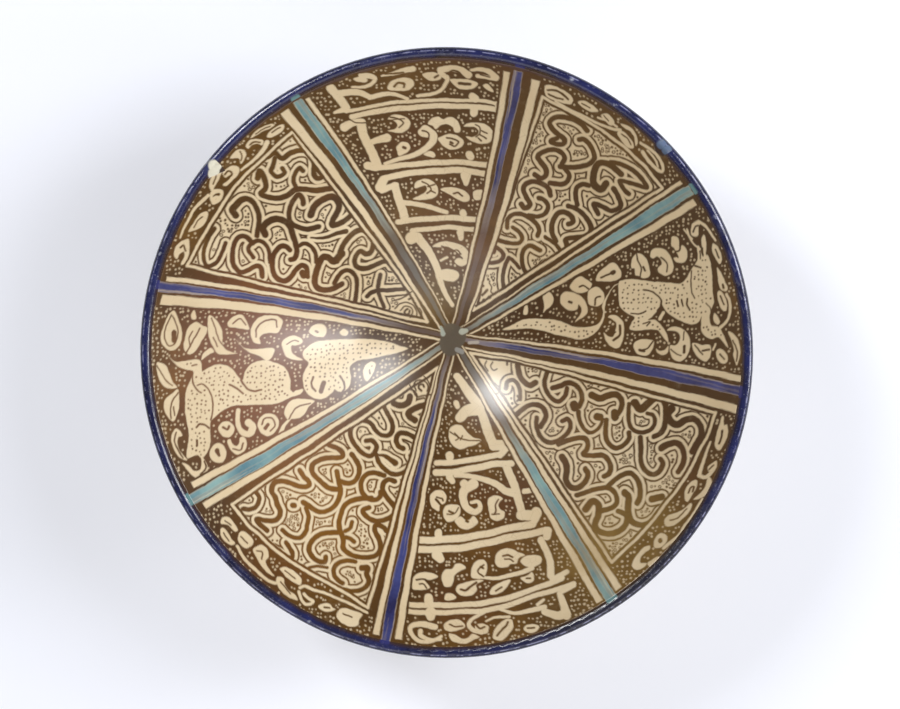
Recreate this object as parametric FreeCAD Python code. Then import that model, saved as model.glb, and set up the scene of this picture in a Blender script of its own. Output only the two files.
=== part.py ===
import FreeCAD, Part
import math
import os

# A footed bowl of glazed stonepaste with flaring sides, as a potter makes it.
# The thrown wall carries a turned foot ring under it. A white glaze lies inside and
# outside, a blue glaze band wraps the lip, and eight radial stripes of coloured glaze
# are let into the inside. Two old losses in the lip are filled with plaster.
# Everything but the stripes, the losses and the outside glaze edge is a section turned
# about +Z. The origin is the middle of the flat face that the foot ring stands on.
# Lengths are in millimetres and angles in degrees.

# The inside surface, as it is seen and used.
inside_radius = 104.0
inside_depth = 70.0
well_radius = 70.0
well_slope = 35.0

# The stonepaste wall and its floor.
lip_thickness = 2.6
lip_rise = 1.1
lip_flat = 1.1
floor_thickness = 6.5

# The foot ring, turned from the same clay and luted on.
foot_recess_height = 8.0
foot_outer_radius = 36.5
foot_width = 6.0
foot_taper = 0.5
foot_undercut = 3.0
foot_outer_bevel = 1.4
foot_inner_bevel = 0.8
foot_waist_depth = 0.7

# The glaze coats.
glaze_thickness = 0.5
lip_band_inside = 1.2
lip_band_outside = 6.0

# The lower edge of the outside glaze, which stops short of the foot in waves and runs.
glaze_edge_height = 21.0
glaze_edge_wave = 1.1
glaze_run_length = 4.6
glaze_run_width = 7.0
glaze_drop_radius = 1.5
glaze_drop_seat = 0.1
glaze_run_azimuths = (37.5, 150.0, 202.5, 300.0)
glaze_wave_counts = (3, 5, 11)
glaze_wave_shares = (1.0, 0.6, 0.25)
glaze_wave_phases = (20.0, 75.0, 140.0)
glaze_edge_points = 48
glaze_edge_sectors = 8

# The coloured stripes, from the middle of the well to the lip band.
stripe_depth = 0.25
stripe_start_radius = 5.0
stripe_start_width = 1.1
stripe_end_width = 4.2
turquoise_azimuths = (120.5, 34.2, 304.0, 210.0)
cobalt_azimuths = (75.6, 353.1, 258.1, 166.8)

# The plaster fills in the lip: where they are, how long each is along the lip,
# how far it reaches down the inside and how deep it goes into the wall.
fill_depth = 1.9
left_fill_azimuth = 141.5
left_fill_length = 7.2
left_fill_reach = 5.6
right_fill_azimuth = 44.0
right_fill_length = 6.4
right_fill_reach = 3.4

# A fill's outline as shares of its length along the lip and of its reach down the
# inside. A reach share under zero stands above the end of the wall, past the lip.
left_fill_shares = (
    (-0.50, -0.60),
    (0.34, -0.60),
    (0.50, 0.20),
    (0.16, 0.55),
    (-0.28, 1.00),
    (-0.40, 0.30),
)
right_fill_shares = (
    (-0.50, -0.60),
    (0.50, -0.60),
    (0.36, 0.55),
    (0.05, 1.00),
    (-0.38, 0.70),
)

# How far a cutting shape runs past what it cuts.
overrun = 2.0


def vec(radius, height):
    """A point of the section plane, which holds the axis and +X."""
    return FreeCAD.Vector(radius, 0, height)


def line(a, b):
    return Part.LineSegment(a, b).toShape()


class Bend:
    """A circular arc of the section that leaves start along a slope and ends at end."""

    def __init__(self, start, slope, end):
        self.start = start
        self.slope = math.radians(slope)
        chord = end - start
        lean = math.atan2(chord.z, chord.x) - self.slope
        self.turn = 2 * lean
        self.radius = chord.Length / (2 * math.sin(lean))

    def angle(self, share):
        return self.slope + share * self.turn

    def outward(self, share):
        """The direction out of the bowl, square to the arc."""
        angle = self.angle(share)
        return vec(math.sin(angle), -math.cos(angle))

    def along(self, share):
        """The direction up the wall, in line with the arc."""
        angle = self.angle(share)
        return vec(math.cos(angle), math.sin(angle))

    def point(self, share, shift=0):
        """The point at a share of the arc's length, moved out of the bowl by shift."""
        angle = self.angle(share)
        across = self.radius * (math.sin(angle) - math.sin(self.slope))
        up = self.radius * (math.cos(self.slope) - math.cos(angle))
        return self.start + vec(across, up) + self.outward(share) * shift

    def share_back(self, length):
        """The share of the arc that is this length short of its end."""
        return 1 - length / (self.radius * self.turn)

    def share_at_radius(self, radius):
        sine = math.sin(self.slope) + (radius - self.start.x) / self.radius
        return (math.asin(sine) - self.slope) / self.turn

    def share_at_height(self, height):
        cosine = math.cos(self.slope) - (height - self.start.z) / self.radius
        return (math.acos(cosine) - self.slope) / self.turn

    def edge(self, first, last, shift=0):
        middle = (first + last) / 2
        points = [self.point(share, shift) for share in (first, middle, last)]
        return Part.Arc(*points).toShape()


def turned(edges):
    """The solid that a closed section sweeps in one turn about the axis."""
    face = Part.Face(Part.Wire(edges))
    solid = face.revolve(vec(0, 0), FreeCAD.Vector(0, 0, 1), 360)
    return solid if solid.Volume > 0 else solid.reversed()


def carried(shape, azimuth):
    """A shape made over +X, turned to its azimuth."""
    moved = shape.copy()
    moved.rotate(vec(0, 0), FreeCAD.Vector(0, 0, 1), azimuth)
    return moved


# The section: the glazed inside is the well and the wall, and the outside is one
# bend from the edge of the floor to the lip, where it is parallel to the inside.
well_bottom = vec(0, foot_recess_height + floor_thickness + glaze_thickness)
well_rise = math.radians(well_slope)
well_end = well_bottom + vec(math.sin(well_rise), 1 - math.cos(well_rise)) * well_radius
well = Bend(well_bottom, 0, well_end)
wall = Bend(well_end, well_slope, well_bottom + vec(inside_radius, inside_depth))

lip_inner = wall.point(1, glaze_thickness)
lip_outer = wall.point(1, glaze_thickness + lip_thickness)
lip_middle = (lip_inner + lip_outer) / 2
foot_inner_radius = foot_outer_radius - foot_width
floor_edge = vec(foot_inner_radius - foot_undercut, foot_recess_height)
lip_chord = lip_outer - floor_edge
chord_slope = math.degrees(math.atan2(lip_chord.z, lip_chord.x))
outside_slope = 2 * chord_slope - math.degrees(wall.angle(1))
outside = Bend(floor_edge, outside_slope, lip_outer)
edge_radius = outside.point(outside.share_at_height(glaze_edge_height)).x


def lip_edges():
    """The wall's top from inside to outside: a narrow flat between two bevels."""
    flat = lip_middle + wall.along(1) * lip_rise
    half = wall.outward(1) * (lip_flat / 2)
    return [line(lip_inner, flat - half), line(flat - half, flat + half), line(flat + half, lip_outer)]


def make_stonepaste_wall():
    axis_top = well.point(0, glaze_thickness)
    axis_bottom = vec(0, foot_recess_height)
    edges = [
        well.edge(0, 1, glaze_thickness),
        wall.edge(0, 1, glaze_thickness),
        *lip_edges(),
        outside.edge(1, 0),
        line(floor_edge, axis_bottom),
        line(axis_bottom, axis_top),
    ]
    return turned(edges)


def make_foot_ring():
    """The ring has a waisted outside, a sloping inside and two bevels at its foot."""
    top_share = outside.share_at_radius(foot_outer_radius - foot_taper)
    top = outside.point(top_share)
    bevel_top = vec(foot_outer_radius, foot_outer_bevel)
    bevel_foot = vec(foot_outer_radius - foot_outer_bevel, 0)
    inner_foot = vec(foot_inner_radius + foot_inner_bevel, 0)
    slope = (floor_edge - vec(foot_inner_radius, 0)).normalize()
    inner_top = vec(foot_inner_radius, 0) + slope * foot_inner_bevel
    waist = Part.BezierCurve()
    waist.setPoles([top, (top + bevel_top) / 2 - vec(2 * foot_waist_depth, 0), bevel_top])
    edges = [
        outside.edge(0, top_share),
        waist.toShape(),
        line(bevel_top, bevel_foot),
        line(bevel_foot, inner_foot),
        line(inner_foot, inner_top),
        line(inner_top, floor_edge),
    ]
    return turned(edges)


def inside_layer(depth):
    """The inside surface from the axis to the lip band, thickened by depth."""
    band = wall.share_back(lip_band_inside)
    edges = [
        well.edge(0, 1),
        wall.edge(0, band),
        line(wall.point(band), wall.point(band, depth)),
        wall.edge(band, 0, depth),
        well.edge(1, 0, depth),
        line(well.point(0, depth), well.point(0)),
    ]
    return turned(edges)


def make_lip_band():
    """The blue glaze that wraps the lip, inside and out, and rounds it."""
    inner = wall.share_back(lip_band_inside)
    outer = outside.share_back(lip_band_outside)
    reach = lip_thickness / 2 + glaze_thickness
    side = wall.outward(1) * reach
    top = wall.along(1) * reach
    edges = [
        line(wall.point(inner, glaze_thickness), wall.point(inner)),
        wall.edge(inner, 1),
        Part.Arc(lip_middle - side, lip_middle + top, lip_middle + side).toShape(),
        outside.edge(1, outer, glaze_thickness),
        line(outside.point(outer, glaze_thickness), outside.point(outer)),
        outside.edge(outer, 1),
        *reversed(lip_edges()),
        wall.edge(1, inner, glaze_thickness),
    ]
    return turned(edges)


def glaze_edge_at(azimuth):
    """The height of the outside glaze's lower edge: slow waves, and a tongue at each run."""
    height = glaze_edge_height
    for count, share, phase in zip(glaze_wave_counts, glaze_wave_shares, glaze_wave_phases):
        height += glaze_edge_wave * share * math.cos(math.radians(count * azimuth + phase))
    half_angle = math.degrees(glaze_run_width / (2 * edge_radius))
    for run in glaze_run_azimuths:
        off = (azimuth - run + 180) % 360 - 180
        height -= glaze_run_length * math.exp(-((off / half_angle) ** 2))
    return height


def wavy_arcs(radius):
    """The glaze edge's height carried round a cylinder of this radius, in equal sectors."""
    points = []
    for step in range(glaze_edge_points):
        azimuth = 360 * step / glaze_edge_points
        turn = math.radians(azimuth)
        flat = FreeCAD.Vector(math.cos(turn), math.sin(turn), 0) * radius
        points.append(flat + FreeCAD.Vector(0, 0, glaze_edge_at(azimuth)))
    curve = Part.BSplineCurve()
    curve.interpolate(Points=points, PeriodicFlag=True)
    first, last = curve.FirstParameter, curve.LastParameter
    ends = [first + (last - first) * n / glaze_edge_sectors for n in range(glaze_edge_sectors + 1)]
    return [curve.toShape(start, end) for start, end in zip(ends, ends[1:])]


def make_outside_glaze():
    """The outside coat, cut off along its wavy edge, with a drop at the end of each run."""
    highest = glaze_edge_height + 2 * glaze_edge_wave
    lowest = glaze_edge_height - 2 * glaze_edge_wave - glaze_run_length
    foot = outside.share_at_height(lowest - overrun)
    calm = outside.share_at_height(highest + overrun)
    band = outside.share_back(lip_band_outside)
    edges = [
        outside.edge(foot, calm),
        outside.edge(calm, band),
        line(outside.point(band), outside.point(band, glaze_thickness)),
        outside.edge(band, calm, glaze_thickness),
        outside.edge(calm, foot, glaze_thickness),
        line(outside.point(foot, glaze_thickness), outside.point(foot)),
    ]
    coat = turned(edges)
    down = FreeCAD.Vector(0, 0, -(glaze_edge_height + overrun))
    for outer, inner in zip(wavy_arcs(2 * edge_radius), wavy_arcs(edge_radius / 2)):
        coat = coat.cut(Part.makeRuledSurface(outer, inner).extrude(down))
    for run in glaze_run_azimuths:
        share = outside.share_at_height(glaze_edge_at(run) + glaze_drop_radius / 2)
        back = outside.point(share, glaze_drop_seat)
        drop = Part.makeSphere(glaze_drop_radius, back, outside.outward(share), 0, 90, 360)
        coat = coat.fuse(carried(drop, run))
    return coat


def make_stripe(azimuth):
    """One stripe, a wedge of the inside layer that widens from the well to the lip."""
    end = inside_radius + overrun
    corners = [
        FreeCAD.Vector(stripe_start_radius, -stripe_start_width / 2, 0),
        FreeCAD.Vector(end, -stripe_end_width / 2, 0),
        FreeCAD.Vector(end, stripe_end_width / 2, 0),
        FreeCAD.Vector(stripe_start_radius, stripe_start_width / 2, 0),
    ]
    outline = Part.makePolygon(corners + corners[:1])
    height = well_bottom.z + inside_depth + overrun
    prism = Part.Face(outline).extrude(FreeCAD.Vector(0, 0, height))
    return stripe_layer.common(carried(prism, azimuth))


def make_fill_tool(azimuth, length, reach, shares):
    """The shape of a loss: an outline on the inside of the wall's top, pushed into it."""
    origin = wall.point(1) - wall.outward(1) * overrun
    side = FreeCAD.Vector(0, 1, 0)
    down = wall.along(1) * -1
    corners = []
    for along_share, reach_share in shares:
        corners.append(origin + side * (along_share * length) + down * (reach_share * reach))
    outline = Part.makePolygon(corners + corners[:1])
    tool = Part.Face(outline).extrude(wall.outward(1) * (overrun + fill_depth))
    return carried(tool, azimuth)


def joined(shapes):
    """Separate solids kept side by side in one piece."""
    return Part.makeCompound([solid for shape in shapes for solid in shape.Solids])


def export(name, shape):
    solids = shape.Solids
    whole = solids[0] if len(solids) == 1 else Part.makeCompound(solids)
    whole.exportStep(os.path.join("parts", name + ".step"))
    volume = sum(solid.Volume for solid in solids)
    print(f"{name}: {len(solids)} solid(s), {volume:.1f} mm3, valid {whole.isValid()}")


stonepaste_wall = make_stonepaste_wall()
foot_ring = make_foot_ring()
lip_band = make_lip_band()
outside_glaze = make_outside_glaze()

stripe_layer = inside_layer(stripe_depth)
turquoise_stripes = joined([make_stripe(azimuth) for azimuth in turquoise_azimuths])
cobalt_stripes = joined([make_stripe(azimuth) for azimuth in cobalt_azimuths])
inside_glaze = inside_layer(glaze_thickness).cut([turquoise_stripes, cobalt_stripes])

left_tool = make_fill_tool(
    left_fill_azimuth, left_fill_length, left_fill_reach, left_fill_shares
)
right_tool = make_fill_tool(
    right_fill_azimuth, right_fill_length, right_fill_reach, right_fill_shares
)
lip_whole = stonepaste_wall.fuse([lip_band, inside_glaze]).removeSplitter()
left_plaster_fill = lip_whole.common(left_tool)
right_plaster_fill = lip_whole.common(right_tool)
stonepaste_wall = stonepaste_wall.cut([left_tool, right_tool])
lip_band = lip_band.cut([left_tool, right_tool])
inside_glaze = inside_glaze.cut([left_tool, right_tool])

os.makedirs("parts", exist_ok=True)
export("stonepaste_wall", stonepaste_wall)
export("foot_ring", foot_ring)
export("inside_glaze", inside_glaze)
export("outside_glaze", outside_glaze)
export("lip_band", lip_band)
export("turquoise_stripes", turquoise_stripes)
export("cobalt_stripes", cobalt_stripes)
export("left_plaster_fill", left_plaster_fill)
export("right_plaster_fill", right_plaster_fill)
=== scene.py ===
import math
import bpy
import numpy as np
from mathutils import Matrix, Vector


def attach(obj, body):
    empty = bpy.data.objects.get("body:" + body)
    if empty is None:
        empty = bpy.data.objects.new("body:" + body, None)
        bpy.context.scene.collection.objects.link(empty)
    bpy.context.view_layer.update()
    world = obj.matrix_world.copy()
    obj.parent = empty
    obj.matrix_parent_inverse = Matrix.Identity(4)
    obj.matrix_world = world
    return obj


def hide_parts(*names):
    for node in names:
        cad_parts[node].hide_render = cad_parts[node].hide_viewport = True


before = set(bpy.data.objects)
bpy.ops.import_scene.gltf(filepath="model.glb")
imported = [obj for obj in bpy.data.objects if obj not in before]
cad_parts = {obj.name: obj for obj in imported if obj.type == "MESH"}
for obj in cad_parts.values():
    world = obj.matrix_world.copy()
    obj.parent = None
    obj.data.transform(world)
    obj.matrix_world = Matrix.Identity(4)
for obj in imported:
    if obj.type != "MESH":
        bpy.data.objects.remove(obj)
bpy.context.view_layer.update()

# Lengths are in millimetres until they reach Blender, which takes metres. Places in the
# painting are in pixels of the photograph, and the camera below joins the two.
mm = 0.001

# The section, with the values that the solids were turned from
inside_radius = 104.0
inside_depth = 70.0
well_radius = 70.0
well_slope = math.radians(35)
well_floor = 15.0
glaze_thickness = 0.5
lip_thickness = 2.6
lip_band_inside = 1.2
lip_band_outside = 6.0
floor_edge = (27.5, 8.0)

# The lower edge of the outside glaze
glaze_edge_height = 21.0
glaze_edge_wave = 1.1
glaze_run_length = 4.6
glaze_run_width = 7.0
glaze_drop_radius = 1.5
glaze_run_azimuths = (37.5, 150.0, 202.5, 300.0)
glaze_wave_counts = (3, 5, 11)
glaze_wave_shares = (1.0, 0.6, 0.25)
glaze_wave_phases = (20.0, 75.0, 140.0)

# The plaster fills in the lip: azimuth, length along the lip, reach down the inside, and
# the outline as shares of the length and the reach
plaster_fills = (
    (141.5, 7.2, 5.6, ((-0.5, -0.6), (0.34, -0.6), (0.5, 0.2), (0.16, 0.55), (-0.28, 1.0), (-0.4, 0.3))),
    (44.0, 6.4, 3.4, ((-0.5, -0.6), (0.5, -0.6), (0.36, 0.55), (0.05, 1.0), (-0.38, 0.7))),
)
fill_sink = 0.4

# Small chips in the lip's crest
lip_nicks = [(-48.0, -94.6, 86.0), (59.0, 87.0, 86.0), (43.8, 96.2, 86.0), (-99.6, 35.0, 86.0),
             (93.7, 48.5, 86.0)]

# The radius and height at which the stripes meet the lip
lip_meeting = (103.9, 84.2)

# The camera: where the photograph was taken from, and the rim's ellipse in it
photo_size = (900, 709)
rim_centre = (445.6, 354.9)
rim_reach = (306.95, 302.68)
rim_radius = 107.15
photo_scale = rim_reach[0] / rim_radius
view_tilt = math.radians(5.4)
view_lean = (0.42, 0.908)
view_distance = 1300.0
view_target = np.array((0.0, 0.0, 85.0))


class Bend:
    """A circular arc of the section that leaves start along a slope and ends at end."""

    def __init__(self, start, slope, end):
        self.start = start
        self.slope = slope
        chord = (end[0] - start[0], end[1] - start[1])
        lean = math.atan2(chord[1], chord[0]) - slope
        self.turn = 2 * lean
        self.radius = math.hypot(*chord) / (2 * math.sin(lean))

    def angle(self, share):
        """The arc's slope at a share of its way."""
        return self.slope + share * self.turn

    def point(self, share, shift=0.0):
        """The point at a share of the arc, moved out of the bowl by shift."""
        angle = self.angle(share)
        across = self.radius * (math.sin(angle) - math.sin(self.slope))
        up = self.radius * (math.cos(self.slope) - math.cos(angle))
        return (
            self.start[0] + across + math.sin(angle) * shift,
            self.start[1] + up - math.cos(angle) * shift,
        )

    def share_back(self, length):
        """The share of the arc that leaves a length of it at its end."""
        return 1 - length / (self.radius * self.turn)

    def share_at_height(self, height):
        """The share of the arc at which it reaches a height."""
        cosine = math.cos(self.slope) - (height - self.start[1]) / self.radius
        return (math.acos(cosine) - self.slope) / self.turn


well_bottom = (0.0, well_floor)
well_end = (well_radius * math.sin(well_slope), well_floor + well_radius * (1 - math.cos(well_slope)))
well = Bend(well_bottom, 0.0, well_end)
wall = Bend(well_end, well_slope, (inside_radius, well_floor + inside_depth))
lip_outer = wall.point(1, glaze_thickness + lip_thickness)
chord_slope = math.atan2(lip_outer[1] - floor_edge[1], lip_outer[0] - floor_edge[0])
outside = Bend(floor_edge, 2 * chord_slope - wall.angle(1), lip_outer)


class View:
    """The camera of the photograph."""

    lean = np.array((*view_lean, 0.0)) / math.hypot(*view_lean)
    back = lean * math.sin(view_tilt) + np.array((0.0, 0.0, math.cos(view_tilt)))
    right = np.cross((0.0, 1.0, 0.0), back)
    right = right / np.linalg.norm(right)
    up = np.cross(back, right)
    reach = photo_scale * view_distance
    aside = (rim_centre[0] - photo_size[0] / 2) / photo_scale
    above = (photo_size[1] / 2 - rim_centre[1]) / photo_scale
    eye = view_target + back * view_distance - right * aside - up * above

    @classmethod
    def pixels(cls, points):
        """The photograph pixels that points of the bowl fall on."""
        off = points - cls.eye
        away = -(off @ cls.back)
        across = photo_size[0] / 2 + cls.reach * (off @ cls.right) / away
        down = photo_size[1] / 2 - cls.reach * (off @ cls.up) / away
        return np.stack([across, down], axis=1)


# The painter. A colour is how much lustre, cobalt and turquoise a spot has.
BARE = (0.0, 0.0, 0.0)
LUSTRE = (1.0, 0.0, 0.0)
THIN_LUSTRE = (0.72, 0.0, 0.0)
COBALT = (0.0, 1.0, 0.0)
TURQUOISE = (0.0, 0.0, 1.0)
soft_edge = 0.9
far_away = 1e9
nearly_nothing = 1e-9
GROUND_ZONE, STRAP_ZONE, OPEN_ZONE, ANIMAL_ZONE, PLAIN_ZONE = 0, 1, 2, 3, 4


def smooth_line(points, closed=False, steps=7):
    """A Catmull-Rom curve through given points, as an array of close points."""
    given = np.array(points, float)
    if closed:
        given = np.vstack([given[-1:], given, given[:2]])
    else:
        given = np.vstack([2 * given[0] - given[1], given, 2 * given[-1] - given[-2]])
    share = np.arange(steps)[:, None] / steps
    runs = []
    for a, b, c, d in zip(given, given[1:], given[2:], given[3:]):
        bend = (2 * a - 5 * b + 4 * c - d) * share ** 2 + (3 * b - a - 3 * c + d) * share ** 3
        runs.append((2 * b + (c - a) * share + bend) / 2)
    if not closed:
        runs.append(given[-2:-1])
    return np.vstack(runs)


def inside(spots, outline):
    """Which spots lie inside a closed outline."""
    x, y = spots[:, :1], spots[:, 1:]
    start = outline
    end = np.roll(outline, -1, axis=0)
    crosses = (start[:, 1] > y) != (end[:, 1] > y)
    rise = end[:, 1] - start[:, 1]
    rise = np.where(rise == 0, nearly_nothing, rise)
    at = start[:, 0] + (y - start[:, 1]) * (end[:, 0] - start[:, 0]) / rise
    return ((crosses & (x < at)).sum(axis=1) % 2) == 1


def distance(spots, line, widths=(0, 0)):
    """The distance of spots to a line whose width runs from the first to the second value."""
    best = np.full(len(spots), far_away)
    ends = np.linspace(widths[0] / 2, widths[1] / 2, len(line))
    for a, b, wa, wb in zip(line, line[1:], ends, ends[1:]):
        run = b - a
        share = ((spots - a) @ run) / max(run @ run, nearly_nothing)
        share = np.clip(share, 0, 1)
        gap = spots - a - share[:, None] * run
        best = np.minimum(best, np.hypot(gap[:, 0], gap[:, 1]) - wa - (wb - wa) * share)
    return best


def both_widths(widths):
    """The widths of a line at its two ends, which a single number gives as one."""
    return widths if isinstance(widths, tuple) else (widths, widths)


class Canvas:
    """The spots of a surface, and the colour laid on each."""

    def __init__(self, spots):
        self.spots = spots
        self.paint = np.zeros((len(spots), 3))
        self.zone = np.zeros(len(spots), int)

    def near(self, points, margin):
        """The numbers of the spots in the box round points, with a margin."""
        low = points.min(axis=0) - margin
        high = points.max(axis=0) + margin
        hit = (self.spots > low) & (self.spots < high)
        return np.nonzero(hit[:, 0] & hit[:, 1])[0]

    def lay(self, where, depth, colour):
        """Colour where depth is over zero, with a soft edge."""
        cover = np.clip(depth / soft_edge + 0.5, 0, 1)[:, None]
        self.paint[where] = self.paint[where] * (1 - cover) + np.array(colour) * cover

    def stroke(self, points, widths, colour=LUSTRE):
        """A smooth line through points."""
        widths = both_widths(widths)
        line = smooth_line(points)
        where = self.near(line, max(widths) / 2 + soft_edge)
        if len(where):
            self.lay(where, -distance(self.spots[where], line, widths), colour)

    def shape(self, points, colour=BARE):
        """A filled closed outline."""
        outline = smooth_line(points, closed=True)
        where = self.near(outline, soft_edge)
        if len(where):
            gap = distance(self.spots[where], np.vstack([outline, outline[:1]]))
            sign = np.where(inside(self.spots[where], outline), 1, -1)
            self.lay(where, gap * sign, colour)


# The upper row panel: leaves and bars in the bare glaze, with lustre marks on them
top_leaves = [
    [(354, 79), (362, 77), (367, 79), (366, 82), (358, 82)],
    [(388, 90), (390, 83), (397, 79), (406, 78), (413, 81), (414, 86), (409, 90), (400, 91)],
    [(422, 74), (428, 72), (434, 72), (440, 75), (441, 78), (436, 80), (429, 80), (424, 77)],
    [(450, 80), (456, 79), (465, 79), (473, 81), (478, 84), (474, 88), (465, 89), (457, 87)],
    [(483, 86), (487, 84), (491, 88), (493, 92), (488, 91)],
    [(388, 119), (392, 115), (400, 115), (407, 118), (410, 123), (408, 129), (402, 133), (395, 133),
     (388, 131), (394, 130), (397, 127), (396, 123), (392, 120)],
    [(396, 147), (401, 142), (407, 142), (410, 146), (409, 150), (404, 154), (399, 156), (397, 152)],
    [(428, 124), (432, 119), (438, 117), (443, 119), (448, 117), (454, 118), (459, 124), (460, 131),
     (455, 132), (452, 127), (446, 124), (441, 125), (436, 129), (433, 126)],
    [(438, 139), (444, 136), (451, 134), (459, 136), (464, 141), (463, 146), (457, 149), (449, 149),
         (442, 145)],
    [(464, 126), (468, 123), (476, 122), (485, 124), (491, 129), (493, 135), (490, 142), (484, 144),
     (477, 143), (470, 140), (466, 136), (472, 137), (477, 135), (479, 131), (476, 127), (470, 126)],
    [(424, 155), (428, 152), (433, 152), (436, 156), (433, 158)],
    [(415, 188), (416, 183), (421, 180), (427, 179), (434, 182), (438, 188), (437, 195), (431, 199),
     (422, 200), (413, 199), (419, 196), (425, 193), (427, 189), (425, 186), (419, 188)],
    [(441, 189), (447, 187), (457, 188), (465, 191), (469, 196), (468, 201), (463, 202), (456, 199),
         (449, 194)],
    [(473, 191), (482, 190), (482, 198), (474, 199)],
    [(433, 247), (438, 243), (447, 241), (457, 243), (465, 247), (469, 253), (469, 260), (463, 258),
     (457, 252), (449, 247), (440, 247)],
    [(454, 261), (458, 258), (464, 258), (468, 261), (464, 265), (458, 265)],
    [(418, 131), (424, 127), (431, 130), (429, 137), (421, 136)],
    [(440, 271), (449, 269), (457, 271), (459, 276), (454, 281), (444, 280), (440, 279)],
]
top_stems = [
    ((2, 6), [(352, 87), (362, 87), (371, 84), (375, 79), (370, 76), (362, 76)]),
    ((2, 6), [(382, 76), (396, 73), (413, 69)]),
    ((5, 3), [(440, 73), (447, 78), (446, 83), (441, 90), (431, 94), (418, 96)]),
    ((6, 7), [(440, 70), (450, 69), (460, 70), (468, 75)]),
    ((3, 6), [(471, 70), (480, 69), (490, 72), (496, 78)]),
    (4, [(477, 76), (486, 77), (496, 79)]),
    ((9, 3), [(425, 130), (433, 135), (432, 143), (424, 150), (410, 156), (396, 160), (385, 163)]),
    (2.5, [(441, 260), (447, 257)]),
    # the first pair of bars and its bracket
    (3.4, [(346, 111.5), (370, 106.5), (400, 102), (430, 100.3), (460, 100), (480, 101), (497, 104)]),
    (5.2, [(352, 116.5), (370, 112.5), (400, 108.2), (430, 106.3), (460, 106), (480, 107.5), (496, 109.5)]),
    (3, [(496.5, 103), (496.5, 110)]),
    (7, [(472, 96), (475, 99)]),
    (8, [(474, 109), (474, 112.5)]),
    ((9, 8), [(331, 88), (338, 97), (346, 108)]),
    ((7, 3), [(346, 109), (335, 113)]),
    ((7, 5), [(340, 93), (352, 92), (362, 93), (369, 96)]),
    ((5, 3), [(370, 97), (384, 94.5), (396, 95), (408, 98.5)]),
    # the second pair
    (5.4, [(372, 168), (400, 165.6), (430, 163), (460, 162.5), (488, 164.5)]),
    (6, [(384, 178.5), (400, 174.8), (430, 171.2), (460, 170.5), (486, 173.5)]),
    (8, [(470, 155), (470.5, 156)]),
    ((11, 5), [(465.5, 175), (466, 183)]),
    ((9, 6), [(345, 127), (352, 123), (360, 121.5)]),
    (9, [(361, 123), (363, 133), (367, 143), (373, 154), (377, 164)]),
    ((5, 8), [(368, 143), (378, 140), (387, 138)]),
    (8, [(368, 166), (376, 167)]),
    # the third pair
    (5.4, [(398, 222), (420, 219.6), (445, 217.5), (476, 219.5)]),
    (4.6, [(412, 231), (430, 228.6), (450, 227), (474, 229.5)]),
    (7, [(463, 213), (463.5, 214)]),
    ((7, 5), [(460.5, 232), (461.5, 238)]),
    ((9, 9), [(384, 180), (380, 187)]),
    (6, [(382, 190), (396, 185)]),
    (8, [(395, 186), (398, 196), (401, 206), (404, 217)]),
    ((5.5, 4), [(402, 203), (415, 204), (430, 207), (446, 212)]),
    # the last bracket, down to the point of the panel
    ((12, 8), [(411, 238), (419, 237)]),
    ((9, 4), [(421, 241), (430, 253), (437, 268), (441, 282), (446, 295), (452, 305)]),
]
top_marks = [
    (1.8, [(385, 74), (404, 73)]),
    (2.4, [(394, 87), (398, 83), (404, 84), (404, 87)]),
    (2.2, [(434, 77), (438, 75)]),
    (2, [(447, 74), (453, 71), (459, 73), (462, 77)]),
    (3, [(459, 83), (465, 83.5), (470, 84)]),
    (1.4, [(480, 74.5), (490, 77)]),
    (1.6, [(390, 117), (398, 119), (403, 123), (399, 128)]),
    (3, [(403, 147), (405, 147.5)]),
    (1.6, [(422, 131), (427, 132), (429, 136), (427, 141)]),
    (1.6, [(441, 130), (446, 128), (451, 131)]),
    (1.6, [(443, 134), (450, 133)]),
    (1.8, [(447, 138), (455, 139), (459, 142), (455, 146), (450, 144)]),
    (2.6, [(451, 142), (453, 143)]),
    (1.5, [(476, 124), (480, 127), (480, 133), (476, 137)]),
    (1.6, [(482, 131), (487, 134)]),
    (1.6, [(480, 135), (486, 139)]),
    (1.6, [(478, 138), (481, 141)]),
    (1.6, [(422, 182), (428, 185), (431, 190), (427, 194)]),
    (1.6, [(428, 187), (435, 184)]),
    (1.6, [(430, 191), (435, 193)]),
    (2, [(454, 194), (458, 193), (462, 196)]),
    (1.6, [(442, 246), (450, 248), (456, 253), (462, 258)]),
    (1.6, [(450, 252), (457, 250), (461, 254)]),
    (1.6, [(453, 256), (460, 254)]),
    (1.3, [(404, 118.5), (362, 123), (350, 119.5)]),
]
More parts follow.
